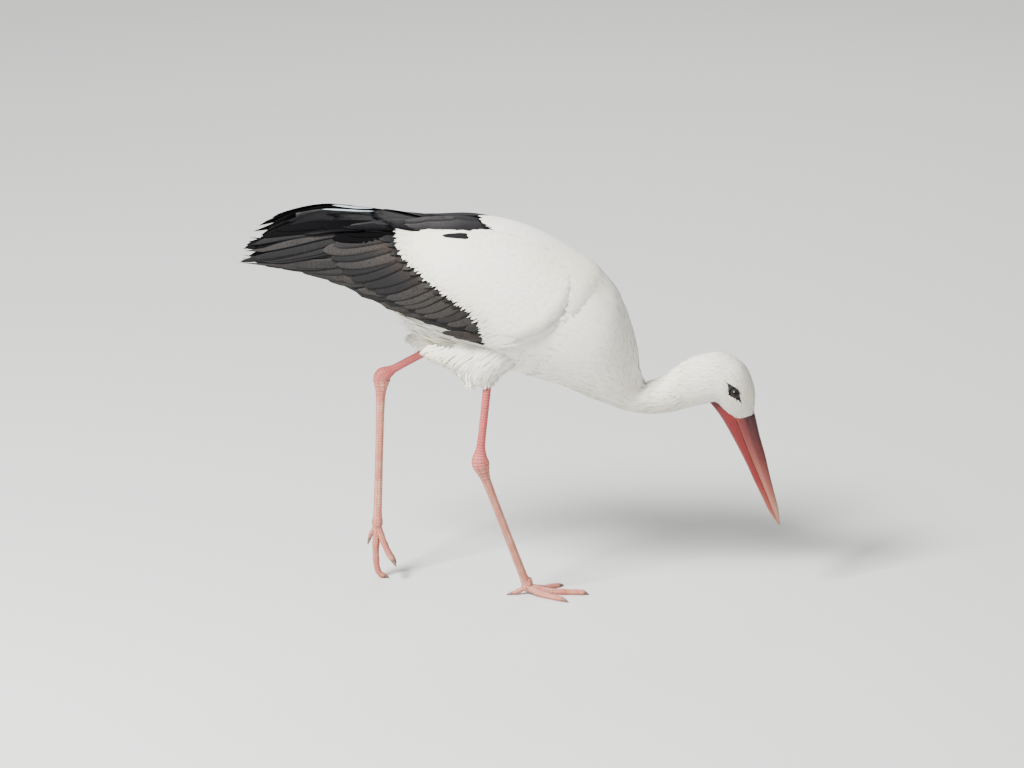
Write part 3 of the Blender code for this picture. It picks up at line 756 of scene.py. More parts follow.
def toeTube(name, toe, root, sizes):
    # A tube along the toe's bones, padded at each joint below and ringed with scutes above; its sole is flat.
    side, facts, tiptoe = sides[name], toes[toe], legs[name]["tiptoe"]
    heading = side * math.radians(facts["heading"])
    pitches = np.array(facts["tiptoe" if tiptoe else "flat"], float)
    bones = np.array(facts["bones"])
    if tiptoe and toe == "middle":
        extra = np.linspace(-25, 25, 501)
        reach = np.sin(np.radians(pitches + extra[:, None])) @ bones
        pitches = pitches + extra[np.argmin(np.abs(reach - (root[2] - facts["radius"] * 0.45)))]
    path, gone = toePath(root, heading, pitches, bones, sizes["step"])
    share = gone / gone[-1]
    joints = np.cumsum(bones) / bones.sum()
    pads = bell(share[:, None], joints[None, :] - sizes["padBack"], sizes["padReach"]).sum(1)
    (thick, loss), (lean, swell) = sizes["taper"], sizes["pads"]
    radius = facts["radius"] * (thick - loss * share) * (lean + swell * pads)
    radius = radius * np.sqrt(np.clip((1 - share) * gone[-1] / sizes["roundEnd"], 0.25, 1))
    if not tiptoe and toe != "hind":
        path[1:, 2] = np.maximum(path[1:, 2], (radius * sizes["sole"])[1:])
    around, flatten = sizes["around"], sizes["flatten"]
    turn = 2 * math.pi * (np.arange(around) + 0.5) / around
    up = held(np.sin(turn))[None, :] ** 0.5
    ridges = (np.abs(np.sin(math.pi * gone / sizes["scute"]))[:, None] ** 0.5 - 0.6) * up * sizes["scuteDepth"]
    lateral = (-math.sin(heading), math.cos(heading), 0)
    grid = tubeGrid(path, radius[:, None] + ridges, flatten, around, lateral, 0.5)
    if grid[len(grid) // 2, around // 4, 2] < path[len(path) // 2, 2]:
        # the rings run the other way round on this toe, so the scutes are turned to its top
        grid = tubeGrid(path, radius[:, None] + ridges[:, ::-1], flatten, around, lateral, 0.5)
    grid[..., 2] = np.maximum(grid[..., 2], 0)
    return grid, tubeMap(turn, gone + 0.3), path, heading, radius


def webSheet(paths, reach, look):
    # A closed thin web between two toes: straight across, its free edge drawn back between them.
    u = np.linspace(0, 1, look["columns"])
    place = np.linspace(0, 1, look["rows"])[:, None] * reach * (1 - look["drawnBack"] * np.sin(math.pi * u)[None, :])
    edge = [np.stack([np.interp(place, runningLength(path), path[:, k]) for k in range(3)], axis=-1) for path in paths]
    sheet = edge[0] * (1 - u)[None, :, None] + edge[1] * u[None, :, None] + (0, 0, look["raised"])
    loop = np.concatenate([sheet, sheet[:, ::-1] - (0, 0, look["thick"])], axis=1)
    loop[..., 2] = np.maximum(loop[..., 2], look["aboveFloor"])
    return loop


def ballGrid(axis, polar, radius, around):
    # Rings of a ball: radius * (axis * cos(polar) + square to it * sin(polar)).
    axis = unit(np.asarray(axis, float))
    first = unit(np.cross(axis, (0, 0, 1.0)))
    second = np.cross(axis, first)
    polar, radius = polar[:, None, None], radius[:, None, None]
    turn = (2 * math.pi * np.arange(around) / around)[None, :, None]
    return radius * (axis * np.cos(polar) + (first * np.cos(turn) + second * np.sin(turn)) * np.sin(polar))


print("forms ready")

eyeFacts = {
    # the right eye is the left one mirrored; long is the line from nape to gape in the side view, along which
    # the opening and the bare skin round it are drawn out
    "centre": (0.330, 0.0196, 0.3137), "radius": 0.0078, "axis": (0.10, 1.0, 0.04), "rings": 30, "around": 40,
    "long": (0.511, -0.859), "bareBack": 0.0250, "bareAhead": 0.0215, "bareHalf": 0.0098,
}
lidFacts = {
    # rings round the eye; where the lip ends and the head begins; the rim's and the fold's place, width, height
    "radii": (0.0052, 0.0057, 0.0060, 0.0064, 0.0069, 0.0075, 0.0082, 0.0090, 0.0098, 0.0106, 0.0114),
    "around": 48, "stretch": (1.10, 0.93), "from": 0.0060, "to": 0.0112,
    "rim": (0.0063, 0.0006, 0.00055), "fold": (0.0080, 0.0007, 0.00030), "proud": 0.0002,
}


def headSide(x, z):
    # How far out the head's side lies at places in the side view, read from a fine grid of the body's form.
    a, b = np.meshgrid(np.linspace(10.8, 15, 220), np.linspace(-1.5, 1.5, 160), indexing="ij")
    grid = bodyForm(a, b).reshape(-1, 3)
    which = nearest(np.stack([x.ravel(), z.ravel()], axis=1), grid[:, 0::2])[0]
    return grid[which, 1].reshape(x.shape)


def bareFace(x, z):
    # 1 on the bare skin round the eye, 0 on the feathers: a leaf along the line from nape to gape.
    alongX, alongZ = eyeFacts["long"]
    dx, dz = x - eyeFacts["centre"][0], z - eyeFacts["centre"][2]
    along, aside = dx * alongX + dz * alongZ, -dx * alongZ + dz * alongX
    share = np.where(along > 0, along / eyeFacts["bareAhead"], -along / eyeFacts["bareBack"])
    half = eyeFacts["bareHalf"] * held(1 - share**1.1) ** 1.15 + 0.0003
    inside = (1 - np.abs(aside + 0.0008) / half) * (share < 1)
    return held(inside * 6)


def lidGrid(side, look):
    # Rings round the eye from an inner lip out to the head: the height runs from the eyeball's own surface to
    # the head's side, with a rim and a low fold between.
    radii, turn = np.array(look["radii"])[:, None], 2 * math.pi * np.arange(look["around"]) / look["around"]
    (alongX, alongZ), (x, out, z) = eyeFacts["long"], eyeFacts["centre"]
    longways, crossways = radii * np.cos(turn) * look["stretch"][0], radii * np.sin(turn) * look["stretch"][1]
    x = x + longways * alongX - crossways * alongZ
    z = z + longways * alongZ + crossways * alongX
    reach = np.hypot(longways, crossways)
    ball = out + np.sqrt(np.maximum(eyeFacts["radius"] ** 2 - reach**2, 0))
    head = headSide(x, z) - skinLook["depth"][-1]
    share = easeIn((radii - look["from"]) / (look["to"] - look["from"]))
    (rimAt, rimWide, rimHigh), (foldAt, foldWide, foldHigh) = look["rim"], look["fold"]
    folds = bell(radii, rimAt, rimWide) * rimHigh + bell(radii, foldAt, foldWide) * foldHigh * (1 + 0.5 * np.sin(turn))
    y = np.maximum(ball, 0) * (1 - share) + head * share + folds + look["proud"]
    y[0], y[1], y[-1] = ball[0] - 0.0007, ball[1] - 0.0001, head[-1] - 0.0006
    return placed(np.stack([x, z], axis=-1), side * y)


def makeEye(name):
    side, facts = sides[name], eyeFacts
    polar = np.linspace(0.03, math.pi, facts["rings"])
    bulge = 1 + 0.035 * bell(polar, 0, 0.62, 4)  # a low cornea stands a little proud round the axis
    grid = ballGrid(facts["axis"] * np.array((1, side, 1)), polar, facts["radius"] * bulge, facts["around"])
    grid = grid + facts["centre"] * np.array((1, side, 1))
    # Colour: a black pupil, a brown iris flecked by fine noise, and a dark rim, by the angle from the axis.
    material, start = newMaterial("eyeball", {"Roughness": 0.07, "Specular IOR Level": 0.28})
    turned = start.attribute("polar")
    fibres = start.noise(start.place(), 900, 3)
    iris = (fibres * 0.7 + turned * 0.4).within(0.3, 0.8).blend((0.005, 0.003, 0.003), (0.017, 0.009, 0.006))
    colour = turned.within(0.40, 0.44).blend((0.002, 0.002, 0.002), iris)
    wireUp(material, {"Base Color": turned.within(0.86, 0.98).blend(colour, (0.012, 0.010, 0.010))})
    finishPiece(f"eyeball_{name}", grid, rolledFaces(*grid.shape[:2]), [material], (f"eye_{name}",),
                {"polar": np.repeat(polar, facts["around"])})


billRows = {
    # ridge x, z; gape x, z; keel x, z; half width
    "inside": (352, 292, 325, 288, 312, 272, 11.5),
    "root": (358.7, 277, 331, 272, 315.5, 262, 12.5),
    "quarter": (366.5, 243, 344.7, 236, 331.9, 231.5, 10.5),
    "middle": (375, 212, 356.8, 204, 348, 199, 8.2),
    "slope": (382, 182, 368.2, 176, 359.8, 172, 6.4),
    "narrows": (389, 154, 378.7, 149, 372, 146, 4.8),
    "nearTip": (395.5, 128, 387.7, 124.5, 383.2, 122.5, 3.2),
    "tip": (398.4, 103.5, 397.5, 102.5, 396.8, 102, 0.9),
}
jawRows = {
    # the lower bill's arms run back under the chin: top x, z; keel x, z; half width
    "rear": (301.5, 301.5, 291.5, 295.5, 3),
    "chin": (318.5, 289, 304, 280, 9),
}
billLook = {
    "rows": 110, "bow": 36, "palate": 8, "gap": 0.00018, "nostril": (0.17, 0.56), "nostrilSize": (0.028, 0.055),
    # colours from root to tip, the upper ramp far darker than the lower and near black at the root: painted shade over
    # the red; the stripe along the upper bill's lower half, lit red with a painted highlight; worn edges along the gape
    "upper": ((0.0, (0.016, 0.008, 0.009)), (0.16, (0.036, 0.009, 0.010)), (0.42, (0.11, 0.018, 0.017)),
              (0.70, (0.25, 0.075, 0.055)), (0.90, (0.33, 0.18, 0.125)), (1.0, (0.26, 0.16, 0.105))),
    "lower": ((0.0, (0.08, 0.006, 0.007)), (0.20, (0.12, 0.006, 0.007)), (0.62, (0.15, 0.008, 0.008)),
              (0.84, (0.21, 0.045, 0.030)), (1.0, (0.28, 0.16, 0.10))),
    "stripe": ((0.13, 0.018, 0.019), (0.33, 0.125, 0.090)), "blush": (0.18, 0.007, 0.008),
    "scuffs": (0.30, 0.10, 0.075), "worn": (0.16, 0.030, 0.022),
}


def billHalf(upper, look):
    # A bowed section from one gape edge over the crest to the other, closed flat across the gape line and
    # carried from root to tip. The crest is drawn to a soft ridge; the nostril is a slit pressed into the side.
    rows = table(billRows)
    edge, crest, width = rows[:, 2:4], rows[:, 0:2] if upper else rows[:, 4:6], rows[:, 6]
    if not upper:
        jaw = table(jawRows)
        edge = np.vstack([jaw[:, 0:2], edge[1:]])
        crest = np.vstack([jaw[:, 2:4], crest[1:]])
        width = np.concatenate([jaw[:, 4], width[1:]])
    count = len(width)
    share = np.linspace(0, 1, look["rows"]) ** 0.9
    at = share * (count - 1)
    edge, crest = smoothRows(edge, at) * mm, smoothRows(crest, at) * mm
    width = smoothRows(width[:, None], at)[:, 0] * mm
    outwards = unit(crest - edge)
    edge = edge + outwards * look["gap"]
    turn = np.linspace(0, math.pi, look["bow"])
    rise = np.sin(turn) ** 0.80
    ridge = bell(turn, math.pi / 2, 0.30) * (0.0007 if upper else 0.0004)
    bow = edge[:, None, :] + (crest - edge)[:, None, :] * rise[None, :, None]
    bow = bow + outwards[:, None, :] * (ridge[None, :] * held(width / 0.008)[:, None])[..., None]
    cosine = np.cos(turn)
    out = width[:, None] * np.sign(cosine) * np.abs(cosine) ** 0.92
    if upper:
        (placeAlong, placeRound), (longHalf, roundHalf) = look["nostril"], look["nostrilSize"]
        slit = bell(share[:, None], placeAlong, longHalf, 4) * bell(np.sin(turn), placeRound, roundHalf, 4)
        groove = bell(np.sin(turn), placeRound, 0.09) * held(1 - np.abs(share[:, None] - 0.25) / 0.22)
        out = out * (1 - 0.16 * slit - 0.05 * groove)
    palate = np.linspace(-1, 1, look["palate"] + 2)[1:-1]
    bow = placed(bow, out)
    back = placed(np.repeat(edge[:, None, :], look["palate"], axis=1), width[:, None] * palate)
    return np.concatenate([bow, back], axis=1), share, np.concatenate([np.sin(turn), 0 * palate])


def hornMaterial(upper, look):
    # Colour: a ramp from root to tip wavered by coarse noise, darker on the upper bill and most at its root as painted
    # shade; above, a paler stripe low on the side, lit red with a painted highlight, and fine scuffs; below, a deeper
    # blush in blotches; darker where worn along the gape.
    fixed = {"Roughness": 0.40, "Coat Weight": 0.04, "Coat Roughness": 0.3, "Specular IOR Level": 0.35}
    material, start = newMaterial("horn_bill_upper" if upper else "horn_bill_lower", fixed)
    along, height, place = start.attribute("along"), start.attribute("height"), start.place()
    mottle = start.noise(place, 90, 4, 0.6)
    fine = start.noise(place.stretch((900, 900, 160)), 1.0, 4, 0.55)
    waver = (mottle - 0.5) * 0.16
    stops = {"stops": look["upper" if upper else "lower"]}
    colour = start.make("ShaderNodeValToRGB", stops, {0: along + waver * (0.6 if upper else 0.5)})
    if upper:
        # low on the upper bill a lighter stripe, lit red with a painted highlight; the dark ramp above it is painted
        # shade
        low = 1 - (height + waver * 0.8).within(0.16, 0.50)
        colour = (low * 0.85).blend(colour, along.within(0.15, 0.75).blend(*look["stripe"]))
    else:
        colour = (mottle.within(0.45, 0.75) * 0.35).blend(colour, look["blush"])
    colour = ((1 - height.within(0.02, 0.14)) * 0.55).blend(colour, look["worn"])
    return wireUp(material, {
        "Base Color": (fine.within(0.56, 0.80) * 0.5).blend(colour, look["scuffs"]) if upper else colour,
        "Roughness": fine * 0.22 + mottle * 0.10 + 0.20,
        "Normal": start.bump(fine * 0.5 + mottle * 0.5, 0.00035),
    })


def makeBill():
    for upper, name in ((True, "bill_upper"), (False, "bill_lower")):
        grid, share, height = billHalf(upper, billLook)
        rows, around = grid.shape[:2]
        values = {"along": np.repeat(share, around), "height": np.tile(height, rows)}
        material = hornMaterial(upper, billLook)
        finishPiece(f"{name}_horn", grid, rolledFaces(rows, around), [material], (name,), values)


def skinMaterials():
    # Down and body skin: two creams mixed by fine and coarse noise, with the wrinkled black bare face.
    downy, start = newMaterial("body_skin", {"Roughness": 0.75, "Specular IOR Level": 0.3})
    place, bare = start.place(), start.attribute("bare")
    grain = start.noise(place, 420, 4)
    wrinkle = start.noise(place.stretch((1, 1, 1.6)), 700, 4, 0.6)
    down = (grain * 0.5 + start.noise(place, 30, 3) * 0.5).within(0.3, 0.7)
    pale = down.blend((0.60, 0.575, 0.52), (0.78, 0.765, 0.71))
    black = wrinkle.within(0.35, 0.7).blend((0.010, 0.009, 0.010), (0.034, 0.028, 0.030))
    wireUp(downy, {
        "Base Color": bare.within(0.3, 0.7).blend(pale, black),
        "Roughness": 0.80 - bare * 0.32,
        "Normal": start.bump(grain * 0.4 + wrinkle * 0.6, 0.0003),
    })
    # Legs: scutes as cells on the leg's own map, pale between and on the tarsus, redder on the shank and heel, where a
    # sine of the distance along the leg rings them with paler bands, a painted highlight along the scute rings.
    scaled, start = newMaterial("leg_scutes", {"Roughness": 0.5, "Specular IOR Level": 0.4})
    legMap, place, bloom = start.uvMap("legMap"), start.place(), start.attribute("bloom")
    cells = start.make(
        "ShaderNodeTexVoronoi", {"feature": "DISTANCE_TO_EDGE", "voronoi_dimensions": "2D"},
        {"Vector": legMap.stretch((7.0, 250.0, 1.0)), "Scale": 1.0, "Randomness": 0.45}, "Distance",
    )
    patch, fleck = start.noise(place, 46, 4, 0.6), start.noise(place, 520, 3)
    lift = cells.within(0.02, 0.20)
    down = legMap.axis(1) + (patch - 0.5) * 0.0012
    ring = start.maths("SINE", down * (2 * math.pi / legSizes["scute"])).within(-0.5, 0.9)
    pale = patch.within(0.35, 0.70).blend((0.45, 0.170, 0.110), (0.54, 0.32, 0.215))
    ruddy = patch.within(0.35, 0.70).blend((0.36, 0.034, 0.036), (0.46, 0.085, 0.080))
    # paler bands along the shank's rings: a painted highlight
    ruddy = (ring * 0.45).blend(ruddy, (0.52, 0.17, 0.155))
    wireUp(scaled, {
        "Base Color": (lift * 0.75 + fleck * 0.25).within(0.05, 0.75).blend(
            (0.36, 0.085, 0.070), bloom.blend(pale, ruddy)),
        "Roughness": fleck * 0.2 + 0.42,
        "Normal": start.bump(lift * 0.6 + fleck * 0.2 + ring * bloom * 0.5, 0.0006),
    })
    return [downy, scaled]


def makeSkin():
    # The flesh, the lids, the legs, the toes and their webs in one mesh. Returns where each claw grows.
    points, faces = fleshMesh(skinLook)
    slots, claws = [0] * len(faces), {}
    kept = {"points": [points], "legMap": [np.zeros((len(points), 2))], "bloom": [np.zeros(len(points))],
            "bare": [bareFace(points[:, 0], points[:, 2]) * (points[:, 0] > 0.29)]}

    def add(grid, quads=None, slot=1, legMap=(0, 0), bloom=0.25, bare=0.0):
        flat, offset = grid.reshape(-1, 3), sum(len(part) for part in kept["points"])
        quads = rolledFaces(*grid.shape[:2]) if quads is None else quads
        faces.extend([tuple(np.add(face, offset)) for face in quads])
        slots.extend([slot] * len(quads))
        kept["points"].append(flat)
        kept["legMap"].append(np.broadcast_to(legMap, (len(flat), 2)))
        kept["bloom"].append(np.broadcast_to(bloom, len(flat)))
        kept["bare"].append(np.broadcast_to(bare, len(flat)))

    for name, side in sides.items():
        lid = lidGrid(side, lidFacts)
        quads = rolledFaces(*lid.shape[:2], capped=False)
        add(lid, quads if side < 0 else [face[::-1] for face in quads], 0, bloom=0.0, bare=1.0)
        grid, legMap = legTube(name, legSizes)
        along = legMap[:, 1]
        add(grid, legMap=legMap, bloom=held(held((0.012 - along) / 0.04) + 0.35 * bell(along, 0, 0.030)))
        root = footRoot(name, legSizes)
        paths = {}
        for toe in toes:
            grid, legMap, paths[toe], heading, radius = toeTube(name, toe, root, toeSizes)
            add(grid, legMap=legMap)
            claws[f"{toe}_{name}"] = (paths[toe], heading, radius)
        drop = np.linspace(footHub["from"], footHub["to"], footHub["rings"])
        size, around = np.interp(drop, footHub["at"], footHub["radius"]), footHub["around"]
        hub = tubeGrid(root + (0, 0, 1) * drop[:, None], size, 1.0, around, (0, 1, 0))
        hub[..., 2] = np.maximum(hub[..., 2], 0)
        add(hub, legMap=tubeMap(2 * math.pi * np.arange(around) / around, drop + 0.1), bloom=0.15)
        for one, two, reach in webLook["webs"]:
            add(webSheet((paths[one], paths[two]), reach, webLook))
    kept = {key: np.concatenate(parts) for key, parts in kept.items()}
    covered = [*fleshNodes, *(f"{part}_{name}" for part in ("shank", "tarsus", "foot") for name in sides)]
    finishPiece("skin", kept.pop("points"), faces, skinMaterials(), covered, kept, slots)
    return claws


clawLook = {"rings": 16, "around": 14, "buried": 0.0018, "length": 0.0103, "drop": 0.0014, "flatten": 0.92,
            "dark": (0.075, 0.045, 0.036), "pale": (0.22, 0.135, 0.10)}


def makeClaws(claws, look):
    # Each claw is a cone with a rounded end, curved down from the toe's last heading and flattened. Its colour
    # is streaked by noise between dark and pale horn.
    material, start = newMaterial("claw_horn", {"Specular IOR Level": 0.4})
    streak = start.noise(start.place(), 380, 4, 0.6)
    wireUp(material, {
        "Base Color": streak.within(0.3, 0.7).blend(look["dark"], look["pale"]),
        "Roughness": streak * 0.3 + 0.28,
        "Normal": start.bump(streak, 0.0002),
    })
    share = np.linspace(0, 1, look["rings"])
    for name, (path, heading, radius) in claws.items():
        ahead = unit(path[-1] - path[-4])
        line = path[-1] - ahead * look["buried"] + ahead * share[:, None] * look["length"]
        size = radius[-6] * 0.86 * np.sqrt(np.clip(1 - share**2.2, 0.004, 1)) * (1 - 0.30 * share)
        line[:, 2] = np.maximum(line[:, 2] - look["drop"] * share**2, np.minimum(size * 0.55, line[:, 2]))
        grid = tubeGrid(line, size, look["flatten"], look["around"], (-math.sin(heading), math.cos(heading), 0))
        grid[..., 2] = np.maximum(grid[..., 2], 0.0001)
        finishPiece(f"claw_horn_{name}", grid, rolledFaces(*grid.shape[:2]), [material], (f"claw_{name}",))


makeBill()
for name in sides:
    makeEye(name)
print("head pieces ready")
makeClaws(makeSkin(), clawLook)
print("skin and claws ready")

# Shapes of the feathers. Outline: quill is the width at the root, fullTo where it starts to close, tipWidth the
# least width of the tip, bluntness how round it is. Height: sink at the root, lift at the tip, looseness a
# random lift, camber across and tilt of the lower edge. turn and sweep set each feather at random.
contour = {
    "rows": 6, "columns": 5, "quill": 0.45, "fullTo": 0.55, "tipWidth": 0.10, "ragged": 0.25,
    "camber": 0.06, "sink": 0.0034, "sinkPower": 2.0, "rowPower": 0.72, "lift": 0.0002, "looseness": 0.0003,
    "turn": 0.08,
}
plume = dict(contour, columns=3, rows=7, quill=0.5, fullTo=0.35, tipWidth=0.10,
             camber=0.10, sink=0.0034, looseness=0.0012, turn=0.12, sweep=0.05, bluntness=1.4)
scale = dict(plume, rows=5, camber=0.05, sink=0.0016, looseness=0.0002, lift=0.0001, turn=0.14, sweep=0.04)
quillFeather = dict(contour, columns=7, rows=14, quill=0.12, fullTo=0.80, tipWidth=0.05,
                    camber=0.04, sink=0.0030, sinkPower=1.0, rowPower=1.0, lift=0.0006, looseness=0.0002, turn=0.010,
                    tilt=0.11, thick=0.0006)

# Finishes of the feathers: first and second are mixed over the body, root shows at the base (darker on the white and
# cream feathers: painted shade where the feathers overlap), streakDark along the barbs, stain in soft blotches,
# edge round the rim (a dark edge is a painted shadow line along each vane, a pale one a real margin), and a darker
# copy of the finish, painted shade, on feathers marked by a tone below nought.
whiteLook = {
    "fixed": {"Sheen Weight": 0.12, "Sheen Roughness": 0.6, "Specular IOR Level": 0.2},
    "slant": 0.9, "streaks": 3.4, "toneShare": 0.55, "blotchScale": 13,
    # root: a darker base, painted shade where the feathers overlap
    "first": (0.86, 0.840, 0.755), "second": (0.93, 0.915, 0.845), "root": (0.78, 0.76, 0.68), "rootEnds": 0.5,
    "rootShare": 0.35, "streakShare": 0.7, "streakDark": (0.76, 0.74, 0.65), "rough": 0.80, "bump": 0.0004,
    "stain": (0.84, 0.80, 0.58), "stainScale": 11, "stainShare": 0.65,
}
creamLook = dict(whiteLook, first=(0.76, 0.72, 0.55), second=(0.90, 0.87, 0.73), root=(0.66, 0.62, 0.47),
                 stain=(0.76, 0.72, 0.48), stainScale=16, stainShare=0.8)
# the charcoal finishes of the near wing are lighter than the far wing's black: the same black plumage with painted
# sunlight
darkLook = {
    "fixed": {"Specular IOR Level": 0.05}, "slant": 0.8, "streaks": 6.0, "toneShare": 0.55, "blotchScale": 16,
    "first": (0.021, 0.020, 0.020), "second": (0.056, 0.051, 0.046), "root": (0.072, 0.048, 0.032), "rootEnds": 0.70,
    "rootShare": 0.85, "streakShare": 0.8, "streakDark": (0.011, 0.011, 0.012), "rough": 0.52, "bump": 0.0003,
    # edge: a painted shadow line along each vane's rim
    "edge": (0.006, 0.006, 0.006), "rimFrom": 0.82, "rimTo": 1.0, "rimShare": 0.5, "paintedShade": (0.0012, 0.0012, 0.0015),
}
slotLook = dict(darkLook, root=(0.018, 0.016, 0.016), edge=(0.003, 0.003, 0.004), rimFrom=0.58, rimTo=0.86,
                rimShare=0.95)
rimLook = dict(darkLook, root=(0.030, 0.027, 0.025), edge=(0.050, 0.047, 0.041), rimFrom=0.84)
# pale bluish vanes with dark rims: a painted reflection of the sky on black tertials, also worn by one thin pale rump
# feather
paleAndGlintLook = dict(rimLook, first=(0.46, 0.52, 0.55), second=(0.66, 0.70, 0.70), root=(0.10, 0.12, 0.16),
                 streakDark=(0.40, 0.45, 0.48), edge=(0.02, 0.02, 0.03), rimFrom=0.72, rimShare=0.9)
# on the far wing this black finish is painted shade over the same plumage
blackLook = dict(darkLook, first=(0.0010, 0.0010, 0.0013), second=(0.0085, 0.0080, 0.0092), root=(0.002, 0.002, 0.002),
                 streakDark=(0.0008, 0.0008, 0.0010), edge=(0.0008, 0.0008, 0.0010), rough=0.46,
                 fixed={"Specular IOR Level": 0.04})
stripLook = dict(darkLook, first=(0.014, 0.013, 0.015), second=(0.072, 0.068, 0.068), root=(0.008, 0.007, 0.008),
                 rimShare=0.1, rough=0.60, fixed=blackLook["fixed"])

white = featherMaterial("white_feathers", whiteLook)
cream = featherMaterial("neck_feathers", creamLook)
charcoal = featherMaterial("charcoal_feathers", darkLook)
slotted = featherMaterial("primary_feathers", slotLook)
rimmed = featherMaterial("rimmed_feathers", rimLook)
scapular = featherMaterial("scapular_feathers", stripLook)
black = featherMaterial("black_feathers", blackLook)
paleAndGlint = featherMaterial("pale_and_glint_feathers", paleAndGlintLook)

boundary = {
    # where white coverts end and dark feathers begin, seen from the side: z, x (metres)
    "z": (0.380, 0.409, 0.447, 0.469, 0.482, 0.501, 0.528, 0.546, 0.569, 0.600),
    "x": (-0.030, -0.036, -0.052, -0.073, -0.090, -0.117, -0.150, -0.167, -0.170, -0.172),
}
frontLine = {
    # where the folded wing's front lies over the breast, seen from the side: x, z (metres)
    "x": (-0.040, 0.012, 0.049, 0.071, 0.086, 0.093, 0.098, 0.104),
    "z": (0.404, 0.4095, 0.428, 0.4485, 0.466, 0.477, 0.489, 0.530),
}


def pastLine(line, at, value):
    # how far a value lies past the line's value there, measured square to the line
    places, values = (np.array(numbers) for numbers in line.values())
    slope = np.interp(at, (places[1:] + places[:-1]) / 2, np.diff(values) / np.diff(places))
    return (value - np.interp(at, places, values)) / np.sqrt(1 + slope**2)


def aheadOfBoundary(points):
    return pastLine(boundary, points[..., 2], points[..., 0])


def aboveFrontLine(points):
    return pastLine(frontLine, points[..., 0], points[..., 2])


wingFlow = {
    # degrees below level along the wing's middle, and how near its two edges the feathers turn to follow them
    "at": (0, 3, 3.6, 5, 7, 8.2), "droop": (12, 8, 13, 27, 37, 40), "lowEdge": 0.26, "topEdge": (0.70, 0.95),
}


def wingLie(extra=0.0):
    # Backwards and down along the wing's middle, following the wing's own line at its lower and upper edges.
    def lie(alongA, a, b):
        droop = np.radians(np.interp(a, wingFlow["at"], wingFlow["droop"]) + extra)
        level = np.stack([-np.cos(droop), 0 * droop, -np.sin(droop)], axis=-1)
        low, high = wingFlow["topEdge"]
        share = np.maximum(easeIn(1 - b / wingFlow["lowEdge"]) * 0.78, easeIn((b - low) / (high - low)))[:, None]
        return level * (1 - share) - unit(alongA) * share

    return lie


def bedMaterial():
    # The wing under its feathers: streaks of noise along it, pale or dark by where the white coverts end.
    material, start = newMaterial("wing_bed", {"Roughness": 0.8, "Specular IOR Level": 0.2})
    streak = start.noise(start.place().stretch((60, 60, 420)), 1.0, 4)
    pale = streak.within(0.3, 0.7).blend((0.56, 0.55, 0.50), (0.72, 0.71, 0.66))
    dark = streak.within(0.3, 0.7).blend((0.012, 0.012, 0.013), (0.036, 0.034, 0.035))
    colour = start.attribute("whiteness").blend(dark, pale)
    return wireUp(material, {"Base Color": colour, "Normal": start.bump(streak, 0.0005)})


def wingBed(name, material):
    # The wing under its feathers: an outer sheet and an inner one, drawn in from the wing's own faces.
    side = sides[name]
    form = wingForm(side)
    a, b = np.meshgrid(np.linspace(2.3, 9.2, 60), np.linspace(0.04, 0.96, 26), indexing="ij")
    normal = unit(np.cross(*slopes(form, a, b))) * -side
    points = form(a, b)
    thick = rowsAt(wingRows, a[:, 0])[:, 7:8] * np.sqrt(4 * b * (1 - b))
    dark = held(0.5 - aheadOfBoundary(points) / 0.02)
    above = aboveFrontLine(points)
    deep = 0.0030 + np.minimum(0.0024, 0.35 * thick) * dark + 0.013 * held(0.5 - above / 0.012)
    outer = points - normal * deep[..., None]
    inner = points - normal * np.maximum(thick, deep + 0.0012)[..., None]
    loop = np.concatenate([outer, inner[:, ::-1]], axis=1)
    whiteness = held(aheadOfBoundary(loop.reshape(-1, 3)) / 0.004 + 0.5)
    finishPiece(f"wing_{name}_bed", loop, rolledFaces(*loop.shape[:2]), [material],
                (f"wing_{name}",), {"whiteness": whiteness})
    return outer[above > 0.010][::7]


wingCoverts = {
    "spacing": (0.0060, 0.0054), "length": 0.028, "width": 0.0150, "spread": 0.14,
    "fringe": 800, "fringeLength": 0.032, "fringeWidth": 0.0042, "overhang": 0.0065,
}
# Dark feathers, tract by tract from the lowest: each tip's two places on the wing, then length and width in
# millimetres. Every feather lies over the ones listed before it.
underRows = ((0.75, 0.16, 170, 24), (0.95, 0.34, 160, 24), (1.20, 0.52, 150, 24), (1.55, 0.70, 140, 24),
             (1.95, 0.86, 130, 22))
primaryRows = ((0.30, 0.045, 170, 15), (-0.18, 0.12, 200, 15), (0.00, 0.23, 190, 14), (0.22, 0.36, 180, 14),
               (0.42, 0.50, 172, 14), (0.72, 0.64, 165, 14), (1.10, 0.78, 158, 14), (1.50, 0.90, 150, 14),
               (1.95, 0.99, 140, 15))
tertialRows = ((6.80, 0.09, 52, 15), (6.50, 0.10, 60, 16), (6.15, 0.10, 72, 17), (5.88, 0.11, 78, 17),
               (5.55, 0.115, 92, 19), (5.30, 0.13, 96, 19), (4.98, 0.14, 106, 21), (4.70, 0.155, 110, 21),
               (4.46, 0.175, 116, 22), (4.12, 0.20, 120, 23), (3.90, 0.225, 122, 23), (3.62, 0.235, 130, 24),
               (3.46, 0.29, 130, 23), (3.32, 0.37, 134, 25), (3.22, 0.45, 134, 25), (3.08, 0.55, 138, 27),
               (3.30, 0.66, 130, 24), (3.24, 0.76, 130, 24), (3.46, 0.86, 120, 22), (3.02, 0.95, 122, 22))
